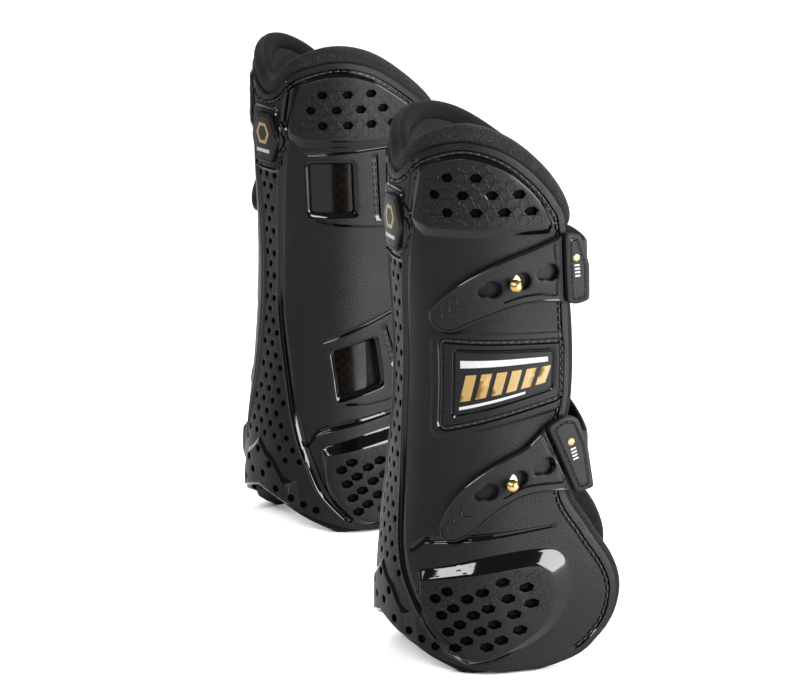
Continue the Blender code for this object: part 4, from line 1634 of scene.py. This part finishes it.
def make_back_badge():
    """The hexagonal badge at the back of the collar, with a plain gold ring and a white rule."""
    outline = rounded(BACK_BADGE, 1.2, step=0.8)
    border = Groove(offset(outline, 1.3, True), 0.3, 0.4, closed=True, flat=0.2)
    shape = panel(outline, BADGE, (), [border], step=1.2)
    publish("back_badge_film", shape, [LABEL_FILM, GLOSS_RUBBER], "boot", ["back_badge"])
    layer = (BADGE[1] - 0.02, BADGE[1] + 0.12)
    middle = (0, 190.6)
    ring = panel(hexagon(middle, 5.6, 0, 5), layer, [hexagon(middle, 3.9, 0, 4)], step=1.0, edge=0.05)
    publish("back_badge_gold", ring, [GOLD], "boot")
    bar = straight([(-5.6, 183.2), (5.6, 183.2), (5.6, 181.6), (-5.6, 181.6)], 0.8, closed=True)
    publish("back_badge_white", panel(bar, layer, step=1.0, edge=0.05), [WHITE], "boot")


def keep_hidden_nodes():
    """The washers behind the studs stay as CAD solids, in brass."""
    for boot in PLACES:
        for name in STRAPS:
            node = frame["nodes"][f"{boot}_{name}_stud_washer"]
            node.data.materials.clear()
            node.data.materials.append(BRASS)


FLOOR_RADIUS = 9

# Each softbox: degrees round from the camera to its right, degrees up, metres away, size in metres, watts.
SOFTBOXES = (
    ("left_softbox", -32, 40, 2.0, (1.7, 0.26), 48),
    ("right_softbox", 61, 9, 1.1, (0.6, 0.62), 42),
    ("far_right_softbox", 125, 26, 2.0, (1.2, 0.6), 34),
    ("far_left_softbox", -88, 38, 2.2, (0.3, 0.7), 10),
    ("back_softbox", 180, 55, 2.8, (3.0, 1.6), 75),
)


def camera_and_lights():
    """The view from the right boot's outer side, a little behind and above it."""
    heading, tilt, lens, distance = math.radians(18), math.radians(13.17), 160, 1.4817
    right = PLACES["right"]([(0, 0, 0)])[0]
    target = Vector(right) + Vector((0, 0.041, 0.13605))
    level_share = math.cos(tilt)
    forward = Vector((math.cos(heading) * level_share, -math.sin(heading) * level_share, -math.sin(tilt)))
    data = bpy.data.cameras.new("camera")
    data.lens = lens
    data.sensor_width = 36
    data.clip_start = 0.05
    camera = bpy.data.objects.new("camera", data)
    bpy.context.scene.collection.objects.link(camera)
    camera.location = target - forward * distance
    camera.rotation_euler = forward.to_track_quat("-Z", "Y").to_euler()
    bpy.context.scene.camera = camera

    across = Vector((-math.sin(heading), -math.cos(heading), 0))
    level = Vector((-forward.x, -forward.y, 0)).normalized()
    for name, turn, rise, away, size, power in SOFTBOXES:
        turn, rise = math.radians(turn), math.radians(rise)
        place = (across * math.sin(turn) + level * math.cos(turn)) * math.cos(rise)
        place += Vector((0, 0, math.sin(rise)))
        lamp = bpy.data.lights.new(name, "AREA")
        lamp.shape = "RECTANGLE"
        lamp.size, lamp.size_y = size
        lamp.energy = power
        obj = bpy.data.objects.new(name, lamp)
        bpy.context.scene.collection.objects.link(obj)
        obj.location = target + place * away
        obj.rotation_euler = (-place).to_track_quat("-Z", "Y").to_euler()
        obj.visible_camera = False


def stage_and_world():
    """A plain pale floor under a plain pale sky."""
    mesh = bpy.data.meshes.new("floor")
    shape = bmesh.new()
    bmesh.ops.create_circle(shape, cap_ends=True, segments=64, radius=FLOOR_RADIUS)
    shape.to_mesh(mesh)
    shape.free()
    pale = Finish("pale_floor", (0.86, 0.86, 0.86), 0.75)
    mesh.materials.append(pale.material)
    floor = bpy.data.objects.new("floor", mesh)
    bpy.context.scene.collection.objects.link(floor)
    world = bpy.data.worlds.new("studio")
    bpy.context.scene.world = world
    world.use_nodes = True
    sky = world.node_tree.nodes["Background"]
    sky.inputs["Color"].default_value = (0.95, 0.97, 1.0, 1)
    sky.inputs["Strength"].default_value = 0.3
    bpy.context.scene.view_settings.view_transform = "Standard"


camera_and_lights()
stage_and_world()
make_shell()
make_stitching()
make_hexagons()
make_lining()
make_collar()
make_carbon_plates()
make_studs()
make_label()
make_back_badge()
for strap_name, strap_parts in STRAPS.items():
    make_tab(strap_name, strap_parts)
    make_plate(strap_name, strap_parts)
    make_elastic(strap_name, strap_parts)
keep_hidden_nodes()
